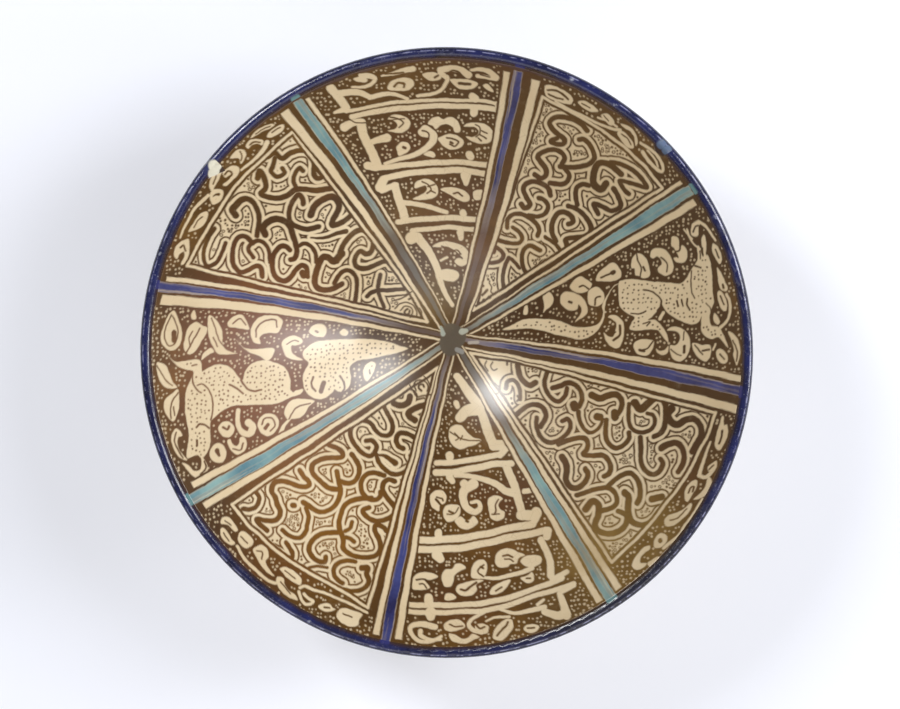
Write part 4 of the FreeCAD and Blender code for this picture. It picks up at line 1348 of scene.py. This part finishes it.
def make_painted_inside():
    """The inside glaze with its stripes, a thin shell with the painting stored on it."""
    shell = Shell()
    rings_of(shell, section_spots(fine_step, 0.0), False)
    front_count = len(shell.points)
    back = section_spots(back_step, glaze_thickness)
    shell.ring(*back[-1], full_count)
    rings_of(shell, back[:-1], True)
    points = np.array(shell.points)
    canvas = paint_inside(View.pixels(points))
    points[:front_count] = sunk_under_fills(points[:front_count])
    shell.points = points
    thing = shell.piece("painted_inside")
    store_paint(thing, canvas)
    return thing


def store_paint(thing, canvas):
    """Keeps the painting on the points of a piece, where the materials read it."""
    layer = thing.data.color_attributes.new("painting", "FLOAT_COLOR", "POINT")
    values = np.ones((len(canvas.paint), 4), np.float32)
    values[:, :3] = canvas.paint
    layer.data.foreach_set("color", values.ravel())


def turn_between(start, end):
    """The degrees from one azimuth to another, between -180 and 180."""
    return (end - start + 180) % 360 - 180


def glaze_edge_at(azimuth):
    """The height of the outside glaze's lower edge: slow waves, and a tongue at each run."""
    height = glaze_edge_height
    for count, share, phase in zip(glaze_wave_counts, glaze_wave_shares, glaze_wave_phases):
        height += glaze_edge_wave * share * math.cos(math.radians(count * azimuth + phase))
    edge_radius = outside.point(outside.share_at_height(glaze_edge_height))[0]
    half_angle = math.degrees(glaze_run_width / (2 * edge_radius))
    for run in glaze_run_azimuths:
        off = turn_between(run, azimuth)
        height -= glaze_run_length * math.exp(-((off / half_angle) ** 2))
    return height


# The outside shell: how many points its rings have, and its rows down the front, round
# the edge and up the back
outside_count = 1080
outside_rows = 190
edge_roll_rows = 6
edge_roll_share = 0.0028
back_row_shares = (0.02, 0.1, 0.3, 0.5, 0.7, 0.85, 1.0)
# The glaze's edge has a small bead along it, and its runs end in drops
bead_thickness, bead_height, bead_reach = 0.12, 0.9, 0.8
drop_thickness, drop_height_share, drop_reach_share = 0.9, 0.75, 0.85


def make_outside_coat():
    """The outside glaze: it ends in a rounded, wavy edge that swells where the glaze ran."""
    band = outside.share_back(lip_band_outside)
    azimuths = [360 * n / outside_count for n in range(outside_count)]
    starts = [outside.share_at_height(glaze_edge_at(azimuth)) for azimuth in azimuths]
    shell = Shell()

    def swell(turn_share, share):
        """How much thicker the glaze is near its edge, and most at a run's drop."""
        azimuth = 360 * turn_share
        start = starts[round(turn_share * outside_count) % outside_count]
        height = outside.point(share)[1] - outside.point(start)[1]
        extra = bead_thickness * math.exp(-((height - bead_height) / bead_reach) ** 2)
        for run in glaze_run_azimuths:
            aside = math.radians(turn_between(run, azimuth)) * outside.point(share)[0]
            near = math.hypot(aside, height - glaze_drop_radius * drop_height_share)
            reach = glaze_drop_radius * drop_reach_share
            extra += drop_thickness * math.exp(-((near / reach) ** 2))
        return extra

    def lift(row_share, shift_share):
        """A ring at a share of the way up, thick by a share of the glaze."""
        def at(turn_share):
            start = starts[round(turn_share * outside_count) % outside_count]
            share = start + (band - start) * row_share
            shift = (glaze_thickness + swell(turn_share, share)) * shift_share
            return outside.point(share, shift)
        return at

    for n in range(outside_rows + 1):
        shell.ring(0, 0, outside_count, lift(1 - n / outside_rows, 1.0))
    for n in range(1, edge_roll_rows + 1):
        angle = math.pi / 2 * n / edge_roll_rows
        shell.ring(0, 0, outside_count, lift(-edge_roll_share * math.sin(angle), math.cos(angle)))
    for row_share in back_row_shares:
        shell.ring(0, 0, outside_count, lift(row_share, 0.0))
    first = (0, outside_count)
    shell.join(shell.last, first)
    thing = shell.piece("outside_coat")
    store_paint(thing, paint_outside(np.array(shell.points)))
    return thing


# The painting outside, in millimetres: bands by height and width, and round the wall
# medallions, each a ring with two leaves and berries by size and height. The outer
# berries stand between two medallions
outside_bands = [(76.5, 1.0), (73.6, 0.5), (46.0, 0.5), (43.2, 1.1), (30.5, 0.6)]
wobble_reach = (0.3, 0.18)
wobble_turns = (3, 7)
wobble_phase = 1
medallion_count = 18
medallion_height = 59.8
medallion_radius = 8.6
medallion_half_line = 0.55
leaf_aside = 2.7
leaf_reach = 5.2
leaf_narrow_share = 0.42
leaf_lean = 0.4
vein_half_width = 0.45
vein_half_length = 3
vein_lean = 0.12
vein_cut = 9
inner_berries = [(1.1, 6), (1.1, -6)]
outer_berries = [(1.3, 0), (0.9, 4.5), (0.9, -4.5)]


def paint_outside(points):
    """Thin lustre bands and a row of medallions on the plain outside."""
    turn = np.arctan2(points[:, 1], points[:, 0])
    radius = np.hypot(points[:, 0], points[:, 1])
    height = points[:, 2]
    canvas = Canvas(points)
    everywhere = np.arange(len(points))
    slow = wobble_reach[0] * np.sin(wobble_turns[0] * turn + wobble_phase)
    wobble = slow + wobble_reach[1] * np.sin(wobble_turns[1] * turn)
    for band_height, band_width in outside_bands:
        canvas.lay(everywhere, band_width / 2 - abs(height - band_height - wobble), THIN_LUSTRE)
    part = (turn / (2 * math.pi) * medallion_count) % 1 - 0.5
    along = part * 2 * math.pi * radius / medallion_count
    rise = height - medallion_height - wobble
    ring = medallion_radius - np.hypot(along, rise)
    canvas.lay(everywhere, medallion_half_line - abs(ring), THIN_LUSTRE)
    for sign in (1, -1):
        leaf = np.hypot((along - sign * leaf_aside) / leaf_narrow_share, rise - leaf_lean * along * sign)
        canvas.lay(everywhere, (leaf_reach - leaf) * leaf_narrow_share, LUSTRE)
        vein = vein_half_width - abs(along - sign * (leaf_aside + rise * vein_lean))
        canvas.lay(everywhere, vein - (abs(rise) > vein_half_length) * vein_cut, BARE)
    gap = math.pi * radius / medallion_count - abs(along)
    for side, berries in ((along, inner_berries), (gap, outer_berries)):
        for size, up in berries:
            canvas.lay(everywhere, size - np.hypot(side, rise - up), LUSTRE)
    return canvas


# Materials. A tone is an sRGB colour of 0 to 255. A cloud is noise: its scale in cycles a
# metre, its detail and roughness, and the two values between which it comes in.
plain_rough = 0.55
noise_middle = 0.5
flat = (1, 1, 0)


def colour(tone):
    """A tone as Blender's linear colour."""
    def linear(v):
        v = v / 255
        return v / 12.92 if v <= 0.04045 else ((v + 0.055) / 1.055) ** 2.4
    return (*map(linear, tone), 1.0)


class Look:
    """A node material built from short calls."""

    def __init__(self, name):
        self.material = bpy.data.materials.new(name)
        self.material.use_nodes = True
        self.nodes = self.material.node_tree.nodes
        self.links = self.material.node_tree.links
        self.shader = self.nodes["Principled BSDF"]
        self.place = self.node("ShaderNodeTexCoord").outputs["Object"]

    def node(self, kind, **settings):
        """A new node with some of its settings."""
        made = self.nodes.new(kind)
        for key, value in settings.items():
            setattr(made, key, value)
        return made

    def plug(self, value, socket):
        """A number, tuple or node output into a socket."""
        if isinstance(value, (int, float, tuple)):
            socket.default_value = value
        else:
            self.links.new(value, socket)

    def stretched(self, scale):
        """The place on the object, scaled along each axis."""
        made = self.node("ShaderNodeMapping")
        made.inputs["Scale"].default_value = scale
        self.plug(self.place, made.inputs["Vector"])
        return made.outputs["Vector"]

    def noise(self, scale, detail, rough=plain_rough, place=None):
        """Noise over the object or over another place."""
        made = self.node("ShaderNodeTexNoise")
        made.inputs["Scale"].default_value = scale
        made.inputs["Detail"].default_value = detail
        made.inputs["Roughness"].default_value = rough
        self.plug(self.place if place is None else place, made.inputs["Vector"])
        return made.outputs["Fac"]

    def fit(self, value, low, high, new_low=0.0, new_high=1.0):
        """The value moved from one range to another and held inside it."""
        made = self.node("ShaderNodeMapRange")
        made.inputs["From Min"].default_value = low
        made.inputs["From Max"].default_value = high
        made.inputs["To Min"].default_value = new_low
        made.inputs["To Max"].default_value = new_high
        self.plug(value, made.inputs["Value"])
        return made.outputs["Result"]

    def cloud(self, scale, detail, rough, low, high, new_low=0.0, new_high=1.0):
        """Noise that comes in between two of its values."""
        return self.fit(self.noise(scale, detail, rough), low, high, new_low, new_high)

    def crackle(self, scale, width):
        """1 on the lines of a net of cells, falling to 0 beside them."""
        made = self.node("ShaderNodeTexVoronoi", feature="DISTANCE_TO_EDGE")
        made.inputs["Scale"].default_value = scale
        self.plug(self.place, made.inputs["Vector"])
        return self.fit(made.outputs["Distance"], 0.0, width, 1.0, 0.0)

    def maths(self, operation, a, b):
        made = self.node("ShaderNodeMath", operation=operation)
        self.plug(a, made.inputs[0])
        self.plug(b, made.inputs[1])
        return made.outputs[0]

    def times(self, a, b):
        return self.maths("MULTIPLY", a, b)

    def mix(self, share, a, b):
        """From colour a to colour b by a share."""
        made = self.node("ShaderNodeMix", data_type="RGBA")
        sockets = {socket.identifier: socket for socket in made.inputs}
        self.plug(share, sockets["Factor_Float"])
        self.plug(a, sockets["A_Color"])
        self.plug(b, sockets["B_Color"])
        return next(socket for socket in made.outputs if socket.identifier == "Result_Color")

    def blend(self, share, tones):
        """From the first tone to the second."""
        return self.mix(share, colour(tones[0]), colour(tones[1]))

    def tint(self, base, mask, share, tone):
        """The base with a tone over it where the mask is, as strong as the share."""
        return self.mix(self.times(mask, share), base, colour(tone))

    def vector(self, operation, *values):
        made = self.node("ShaderNodeVectorMath", operation=operation)
        for value, socket in zip(values, made.inputs):
            self.plug(value, socket)
        return made.outputs["Value"]

    def spot(self, centre, reach, soft):
        """1 within reach of a place on the object, falling to 0 over soft, in millimetres."""
        away = self.vector("DISTANCE", self.place, tuple(v * mm for v in centre))
        return self.fit(away, reach * mm, (reach + soft) * mm, 1.0, 0.0)

    def bump(self, height, strength, depth):
        """A height on the surface, with its depth in millimetres."""
        made = self.node("ShaderNodeBump")
        made.inputs["Strength"].default_value = strength
        made.inputs["Distance"].default_value = depth * mm
        self.plug(height, made.inputs["Height"])
        self.plug(made.outputs["Normal"], self.shader.inputs["Normal"])

    def set(self, **values):
        """Values on the shader's own sockets."""
        for key, value in values.items():
            self.plug(value, self.shader.inputs[key.replace("_", " ")])


# The cream glaze
cream_tones = ((210, 189, 153), (225, 208, 176))
cream_cloud = (28, 5, plain_rough, 0.3, 0.7)
fleck_cloud = (900, 2, 0.6, 0.66, 0.74)
fleck_share = 0.25
fleck_tone = (170, 140, 100)
craze_scale = 230
craze_width = 0.035
craze_patches = (18, 3, plain_rough, 0.45, 0.65)
craze_share = 0.22
craze_tone = (150, 120, 84)


def cream_glaze(look):
    """Warm white glaze: cloudy, finely crazed and faintly speckled."""
    base = look.blend(look.cloud(*cream_cloud), cream_tones)
    base = look.tint(base, look.cloud(*fleck_cloud), fleck_share, fleck_tone)
    craze = look.times(look.crackle(craze_scale, craze_width), look.cloud(*craze_patches))
    return look.tint(base, craze, craze_share, craze_tone)


# The lustre: its two tones, then clouds (cloud, share, tone) and places (middle, reach,
# softness, share, tone) where it turns red, gold, umber or olive; the first place is a painted golden sheen
lustre_tones = ((66, 39, 4), (92, 61, 9))
lustre_cloud = (16, 3, plain_rough, 0.38, 0.62)
lustre_clouds = [
    ((34, 4, 0.6, 0.54, 0.72), 0.5, (128, 88, 26)),
    ((22, 2, plain_rough, 0.56, 0.7), 0.4, (98, 48, 20)),
]
lustre_tone_and_sheen_places = [
    # a painted golden sheen of the lustre at the lower left
    ((-50, -62, 48), 12, 34, 0.55, (146, 96, 22)),
    ((-7, 13, 16), 3, 10, 0.7, (112, 84, 24)),
    ((-72, -6, 48), 18, 34, 0.65, (126, 66, 22)),
    ((8, 78, 60), 24, 40, 0.4, (62, 36, 8)),
    ((68, -72, 72), 14, 26, 0.7, (120, 90, 30)),
]
lustre_wash = ((420, 3, 0.7, 0.35, 0.75), 0.22, (50, 28, 8))


def lustre_paint(look):
    """Brown lustre that shifts between umber, red brown and old gold, with a painted golden sheen at the
    lower left.
    """
    tone = look.blend(look.cloud(*lustre_cloud), lustre_tones)
    for cloud, share, other in lustre_clouds:
        tone = look.tint(tone, look.cloud(*cloud), share, other)
    for middle, reach, soft, share, other in lustre_tone_and_sheen_places:
        tone = look.tint(tone, look.spot(middle, reach, soft), share, other)
    cloud, share, other = lustre_wash
    return look.tint(tone, look.cloud(*cloud), share, other)


# The painted glaze: where the lustre is worn thin, its coloured glazes, its ripples, and
# the olive stain in the lower right of the photograph
worn_cloud = (150, 4, 0.7, 0.25, 0.42, 0.92, 1.0)
flow_cloud = (60, 4, 0.6, 0.3, 0.7)
cobalt_tones = ((22, 24, 76), (66, 74, 138))
turquoise_tones = ((76, 120, 136), (134, 170, 170))
slow_ripple = (45, 3)
quick_ripple = (520, 2)
quick_ripple_share = 0.12
lustre_sink_share = 0.10
ripple_strength = 0.25
ripple_depth = 0.35
stain_place = ((62, -78, 74), 6, 30)
stain_cloud = (40, 4, plain_rough, 0.35, 0.6)
stain_share = 0.55
stain_tone = (152, 122, 62)
gloss_cloud = (90, 4, plain_rough, 0.3, 0.7, 0.32, 0.44)


def painted_glaze(name):
    """Cream glaze with the stored painting: lustre, cobalt and turquoise."""
    look = Look(name)
    layer = look.node("ShaderNodeVertexColor", layer_name="painting")
    split = look.node("ShaderNodeSeparateColor")
    look.plug(layer.outputs["Color"], split.inputs[0])
    lustre, cobalt, turquoise = split.outputs
    worn = look.times(lustre, look.cloud(*worn_cloud))
    base = look.mix(worn, cream_glaze(look), lustre_paint(look))
    flow = look.cloud(*flow_cloud)
    base = look.mix(cobalt, base, look.blend(flow, cobalt_tones))
    base = look.mix(turquoise, base, look.blend(flow, turquoise_tones))
    stain = look.times(look.spot(*stain_place), look.cloud(*stain_cloud))
    base = look.tint(base, stain, stain_share, stain_tone)
    quick = look.times(look.noise(*quick_ripple), quick_ripple_share)
    ripple = look.maths("ADD", look.noise(*slow_ripple), quick)
    height = look.maths("SUBTRACT", ripple, look.times(lustre, lustre_sink_share))
    look.bump(height, ripple_strength, ripple_depth)
    look.set(Base_Color=base, Roughness=look.cloud(*gloss_cloud), IOR=1.5, Specular_IOR_Level=0.25)
    look.set(Coat_Weight=1.0, Coat_Roughness=0.26, Coat_IOR=1.6)
    return look.material


# The lip's cobalt with a painted dark reflection on its lower right, and from its middle outwards: the
# brown ground that it sinks into, the ends of the stripes, painted shade on its rounded outer side and a
# painted dashed highlight along its crest, by their radii
lip_tones = ((12, 13, 38), (32, 38, 92))
lip_flow = (70, 5, 0.6, 0.3, 0.7)
grey_cloud = (120, 4, 0.65, 0.6, 0.76)
grey_share = 0.4
grey_tone = (84, 88, 120)
# A painted dark reflection: the lip's lower right turned grey-black
painted_dark_reflection_place = ((66, -79, 80), 20, 40)
painted_dark_reflection_share = 0.85
painted_dark_reflection_tone = (32, 32, 44)
pit_cloud = (1100, 2, 0.6, 0.64, 0.72)
pit_share = 0.3
pit_tone = (150, 150, 170)
lip_shake_noise = (160, 4)
lip_shake = 1.6
ground_radii = (103.3, 104.5)
ground_share = 0.9
ground_tone = (62, 42, 20)
meeting_radii = (103.9, 104.6)
meeting_share = 0.85
meeting_soft = 0.5
meeting_tones = {COBALT: (44, 50, 116), TURQUOISE: (104, 146, 150)}
# Painted shade: the lip's rounded outer side darkened by its radius
painted_shade_outer_radii = (106.3, 106.9)
painted_shade_outer_share = 0.75
painted_shade_outer_tone = (16, 14, 26)
# A painted highlight: pale broken dashes along the lip's crest
crest_radius = 106.05
crest_highlight_widths = (0.08, 0.3)
crest_highlight_dashes = (330, 3, 0.6, 0.46, 0.58)
crest_highlight_share = 0.6
crest_highlight_tone = (160, 162, 200)
nick_reach = 0.35
nick_soft = 0.8
nick_cloud = (600, 3, plain_rough, 0.4, 0.55)
nick_share = 0.8
nick_tone = (178, 184, 200)


def lip_colours(look):
    """Cobalt that sinks into the brown ground inwards, with painted shade outwards, a painted dark
    reflection at the lower right, and a painted highlight and chips at its crest.
    """
    base = look.blend(look.cloud(*lip_flow), lip_tones)
    base = look.tint(base, look.cloud(*grey_cloud), grey_share, grey_tone)
    # painted dark reflection on the lip's lower right
    base = look.tint(base, look.spot(*painted_dark_reflection_place), painted_dark_reflection_share, painted_dark_reflection_tone)
    base = look.tint(base, look.cloud(*pit_cloud), pit_share, pit_tone)
    from_axis = look.vector("LENGTH", look.stretched(flat))
    shake = look.times(look.maths("SUBTRACT", look.noise(*lip_shake_noise), noise_middle), lip_shake * mm)
    radius = look.maths("ADD", from_axis, shake)

    def within(value, radii, low, high):
        return look.fit(value, radii[0] * mm, radii[1] * mm, low, high)

    base = look.tint(base, within(radius, ground_radii, 1.0, 0.0), ground_share, ground_tone)
    met = within(radius, meeting_radii, meeting_share, 0.0)
    for end, _, paint, half, *_ in stripes:
        run = (np.array(end) - rim_centre) * (1, -1)
        place = (*(run / np.hypot(*run) * lip_meeting[0]), lip_meeting[1])
        near = look.times(look.spot(place, half / photo_scale, meeting_soft), met)
        base = look.mix(near, base, colour(meeting_tones[paint]))
    # painted shade on the lip's rounded outer side
    base = look.mix(within(from_axis, painted_shade_outer_radii, 0.0, painted_shade_outer_share), base, colour(painted_shade_outer_tone))
    # painted highlight: pale dashes along the crest
    off_crest = look.maths("ABSOLUTE", look.maths("SUBTRACT", from_axis, crest_radius * mm), 0)
    highlight_dashes = look.times(within(off_crest, crest_highlight_widths, 1.0, 0.0), look.cloud(*crest_highlight_dashes))
    base = look.tint(base, highlight_dashes, crest_highlight_share, crest_highlight_tone)
    for place in lip_nicks:
        chip = look.times(look.spot(place, nick_reach, nick_soft), look.cloud(*nick_cloud))
        base = look.tint(base, chip, nick_share, nick_tone)
    return base


# The lip band's small bumps and its gloss
band_bump_noises = ((180, 4), (900, 2))
band_bump_strength = 0.35
band_bump_depth = 0.25
band_gloss_cloud = (200, 3, plain_rough, 0.3, 0.7, 0.16, 0.34)


def blue_glaze():
    """The glossy band round the lip."""
    look = Look("blue_band_glaze")
    slow, quick = (look.noise(*noise) for noise in band_bump_noises)
    look.bump(look.maths("ADD", slow, quick), band_bump_strength, band_bump_depth)
    look.set(Base_Color=lip_colours(look), Roughness=look.cloud(*band_gloss_cloud), IOR=1.52)
    look.set(Coat_Weight=0.3, Coat_Roughness=0.08)
    return look.material


# Bare paste
paste_cloud = (40, 5, 0.6, 0.3, 0.7)
grit_cloud = (1300, 2, 0.6, 0.62, 0.72)
grit_share = 0.45
grit_tone = (120, 92, 66)
turning_noise = (260, 2, 0.5)
turning_stretch = (0.02, 0.02, 1.0)
turning_range = (0.45, 0.6)
turning_share = 0.25
turning_tone = (196, 168, 132)
turning_rise = 1.4
sand_noise = (1500, 3, 0.7)
paste_bump_strength = 0.5
paste_bump_depth = 0.3
paste_gloss_cloud = (300, 3, plain_rough, 0.3, 0.7, 0.72, 0.92)


def stonepaste(name, tones):
    """Bare fired paste: sandy, with turning lines and darker grit."""
    look = Look(name)
    base = look.blend(look.cloud(*paste_cloud), tones)
    base = look.tint(base, look.cloud(*grit_cloud), grit_share, grit_tone)
    turning = look.noise(*turning_noise, look.stretched(turning_stretch))
    base = look.tint(base, look.fit(turning, *turning_range), turning_share, turning_tone)
    height = look.maths("ADD", look.times(turning, turning_rise), look.noise(*sand_noise))
    look.bump(height, paste_bump_strength, paste_bump_depth)
    look.set(Base_Color=base, Roughness=look.cloud(*paste_gloss_cloud))
    return look.material


# Plaster
plaster_cloud = (240, 5, 0.6, 0.3, 0.7)
plaster_stain_cloud = (500, 3, plain_rough, 0.6, 0.75)
plaster_stain_share = 0.4
plaster_stain_tone = (150, 136, 118)
plaster_soft = 0.5
plaster_noise = (900, 4, 0.7)
plaster_bump_strength = 0.5
plaster_bump_depth = 0.3
plaster_gloss_cloud = (400, 3, plain_rough, 0.3, 0.7, 0.6, 0.85)


def plaster(name, tones, middles, reach):
    """Plaster with a dull surface, painted over like the lip away from its two middles."""
    look = Look(name)
    base = look.blend(look.cloud(*plaster_cloud), tones)
    base = look.tint(base, look.cloud(*plaster_stain_cloud), plaster_stain_share, plaster_stain_tone)
    shown = look.maths("MAXIMUM", *[look.spot(middle, reach, plaster_soft) for middle in middles])
    # the lip's colours bring their painted shade, dark reflection and highlight onto the overpainted
    # plaster
    base = look.mix(shown, lip_colours(look), base)
    look.bump(look.noise(*plaster_noise), plaster_bump_strength, plaster_bump_depth)
    look.set(Base_Color=base, Roughness=look.cloud(*plaster_gloss_cloud))
    return look.material


# The stage, the lights and the camera
floor_reach = 4.0
floor_tones = ((221, 226, 240), (227, 231, 244))
floor_cloud = (1.5, 2, plain_rough, 0.3, 0.7)
floor_glow = 0.16
world_tint = (1.0, 0.96, 0.88, 1.0)
world_strength = 0.15
lamp_target = (0, 0, 0.03)
white = (1.0, 1.0, 1.0)
warm = (1.0, 0.96, 0.9)
# Each lamp: its name, its place and size in metres, its power in watts and its tint
lamps = [
    ("right_softbox", (1.11, 0.36, 1.09), (0.45, 1.0), 14.5, white),
    ("low_softbox", (1.42, -0.16, 0.71), (0.3, 0.36), 5.5, white),
    ("left_softbox", (-0.73, 0.69, 1.25), (0.34, 0.56), 12.0, white),
    ("front_fill", (0.1, -1.3, 1.3), (2.4, 1.6), 14.0, warm),
]
sensor_width = 36.0
view_end = 20.0


def floor_paper():
    """Plain pale paper. Its even glow shows to the camera and in reflections only."""
    look = Look("floor_paper")
    tone = look.blend(look.cloud(*floor_cloud), floor_tones)
    path = look.node("ShaderNodeLightPath")
    seen = look.maths("MAXIMUM", path.outputs["Is Camera Ray"], path.outputs["Is Glossy Ray"])
    look.set(Base_Color=tone, Roughness=0.9, Emission_Color=(*white, 1.0))
    look.set(Emission_Strength=look.times(seen, floor_glow))
    return look.material


def make_floor():
    """A wide pale sheet under the bowl."""
    mesh = bpy.data.meshes.new("floor")
    corners = [(x * floor_reach, y * floor_reach, 0) for x, y in ((-1, -1), (1, -1), (1, 1), (-1, 1))]
    mesh.from_pydata(corners, [], [(0, 1, 2, 3)])
    floor = linked("floor", mesh)
    wear(floor, floor_paper())
    return floor


def make_lamp(name, place, size, power, tint):
    """A soft lamp that points at the bowl."""
    data = bpy.data.lights.new(name, "AREA")
    data.shape = "RECTANGLE"
    data.size, data.size_y = size
    data.energy = power
    data.color = tint
    lamp = linked(name, data)
    lamp.location = place
    lamp.rotation_euler = (Vector(lamp_target) - Vector(place)).to_track_quat("-Z", "Y").to_euler()


def make_world():
    """Dim, slightly warm light from all round."""
    world = bpy.data.worlds.new("studio")
    world.use_nodes = True
    back = world.node_tree.nodes["Background"]
    back.inputs["Color"].default_value = world_tint
    back.inputs["Strength"].default_value = world_strength
    bpy.context.scene.world = world


def make_camera():
    """The camera that the painting was laid out through."""
    data = bpy.data.cameras.new("view")
    data.sensor_width = sensor_width
    data.sensor_fit = "HORIZONTAL"
    data.lens = View.reach / photo_size[0] * sensor_width
    data.clip_end = view_end
    camera = linked("view", data)
    turn = Matrix((View.right, View.up, View.back)).transposed()
    camera.matrix_world = Matrix.Translation(Vector(View.eye) * mm) @ turn.to_4x4()
    bpy.context.scene.camera = camera


# The pieces in their materials
wall_tones = ((206, 184, 150), (188, 162, 126))
foot_tones = ((200, 176, 140), (178, 150, 114))
# Each plaster: its name and tones, and the middles and reach of what shows of it
left_plaster_look = (
    "left_plaster", ((228, 226, 210), (206, 202, 184)),
    [(-80.6, 65.9, 84.0), (-81.6, 64.0, 83.0)], 2.35,
)
right_plaster_look = (
    "right_plaster", ((94, 104, 142), (82, 106, 128)),
    [(75.0, 73.6, 84.5), (76.8, 71.6, 84.5)], 1.6,
)


def wear(thing, material):
    """Gives a new piece its only material."""
    thing.data.materials.clear()
    thing.data.materials.append(material)


def dress_node(name, material):
    """Gives a solid of the frame its material."""
    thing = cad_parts[name]
    if not thing.material_slots:
        thing.data.materials.append(material)
    for held in thing.material_slots:
        held.material = material


def spread_paint_inside():
    """The painted shell in place of the inside glaze and its stripes."""
    inside_piece = make_painted_inside()
    wear(inside_piece, painted_glaze("painted_inside_glaze"))
    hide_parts("inside_glaze", "turquoise_stripes", "cobalt_stripes")
    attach(inside_piece, "root")


def spread_outside_coat():
    """The painted shell in place of the outside glaze."""
    coat = make_outside_coat()
    wear(coat, painted_glaze("painted_outside_glaze"))
    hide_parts("outside_glaze")
    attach(coat, "root")


def dress_nodes():
    """Materials for the five pieces that keep their solids."""
    dress_node("lip_band", blue_glaze())
    dress_node("stonepaste_wall", stonepaste("bare_wall", wall_tones))
    dress_node("foot_ring", stonepaste("bare_foot", foot_tones))
    dress_node("left_plaster_fill", plaster(*left_plaster_look))
    dress_node("right_plaster_fill", plaster(*right_plaster_look))


spread_paint_inside()
spread_outside_coat()
dress_nodes()
make_floor()
make_world()
for lamp in lamps:
    make_lamp(*lamp)
make_camera()
bpy.context.scene.view_settings.view_transform = "Standard"
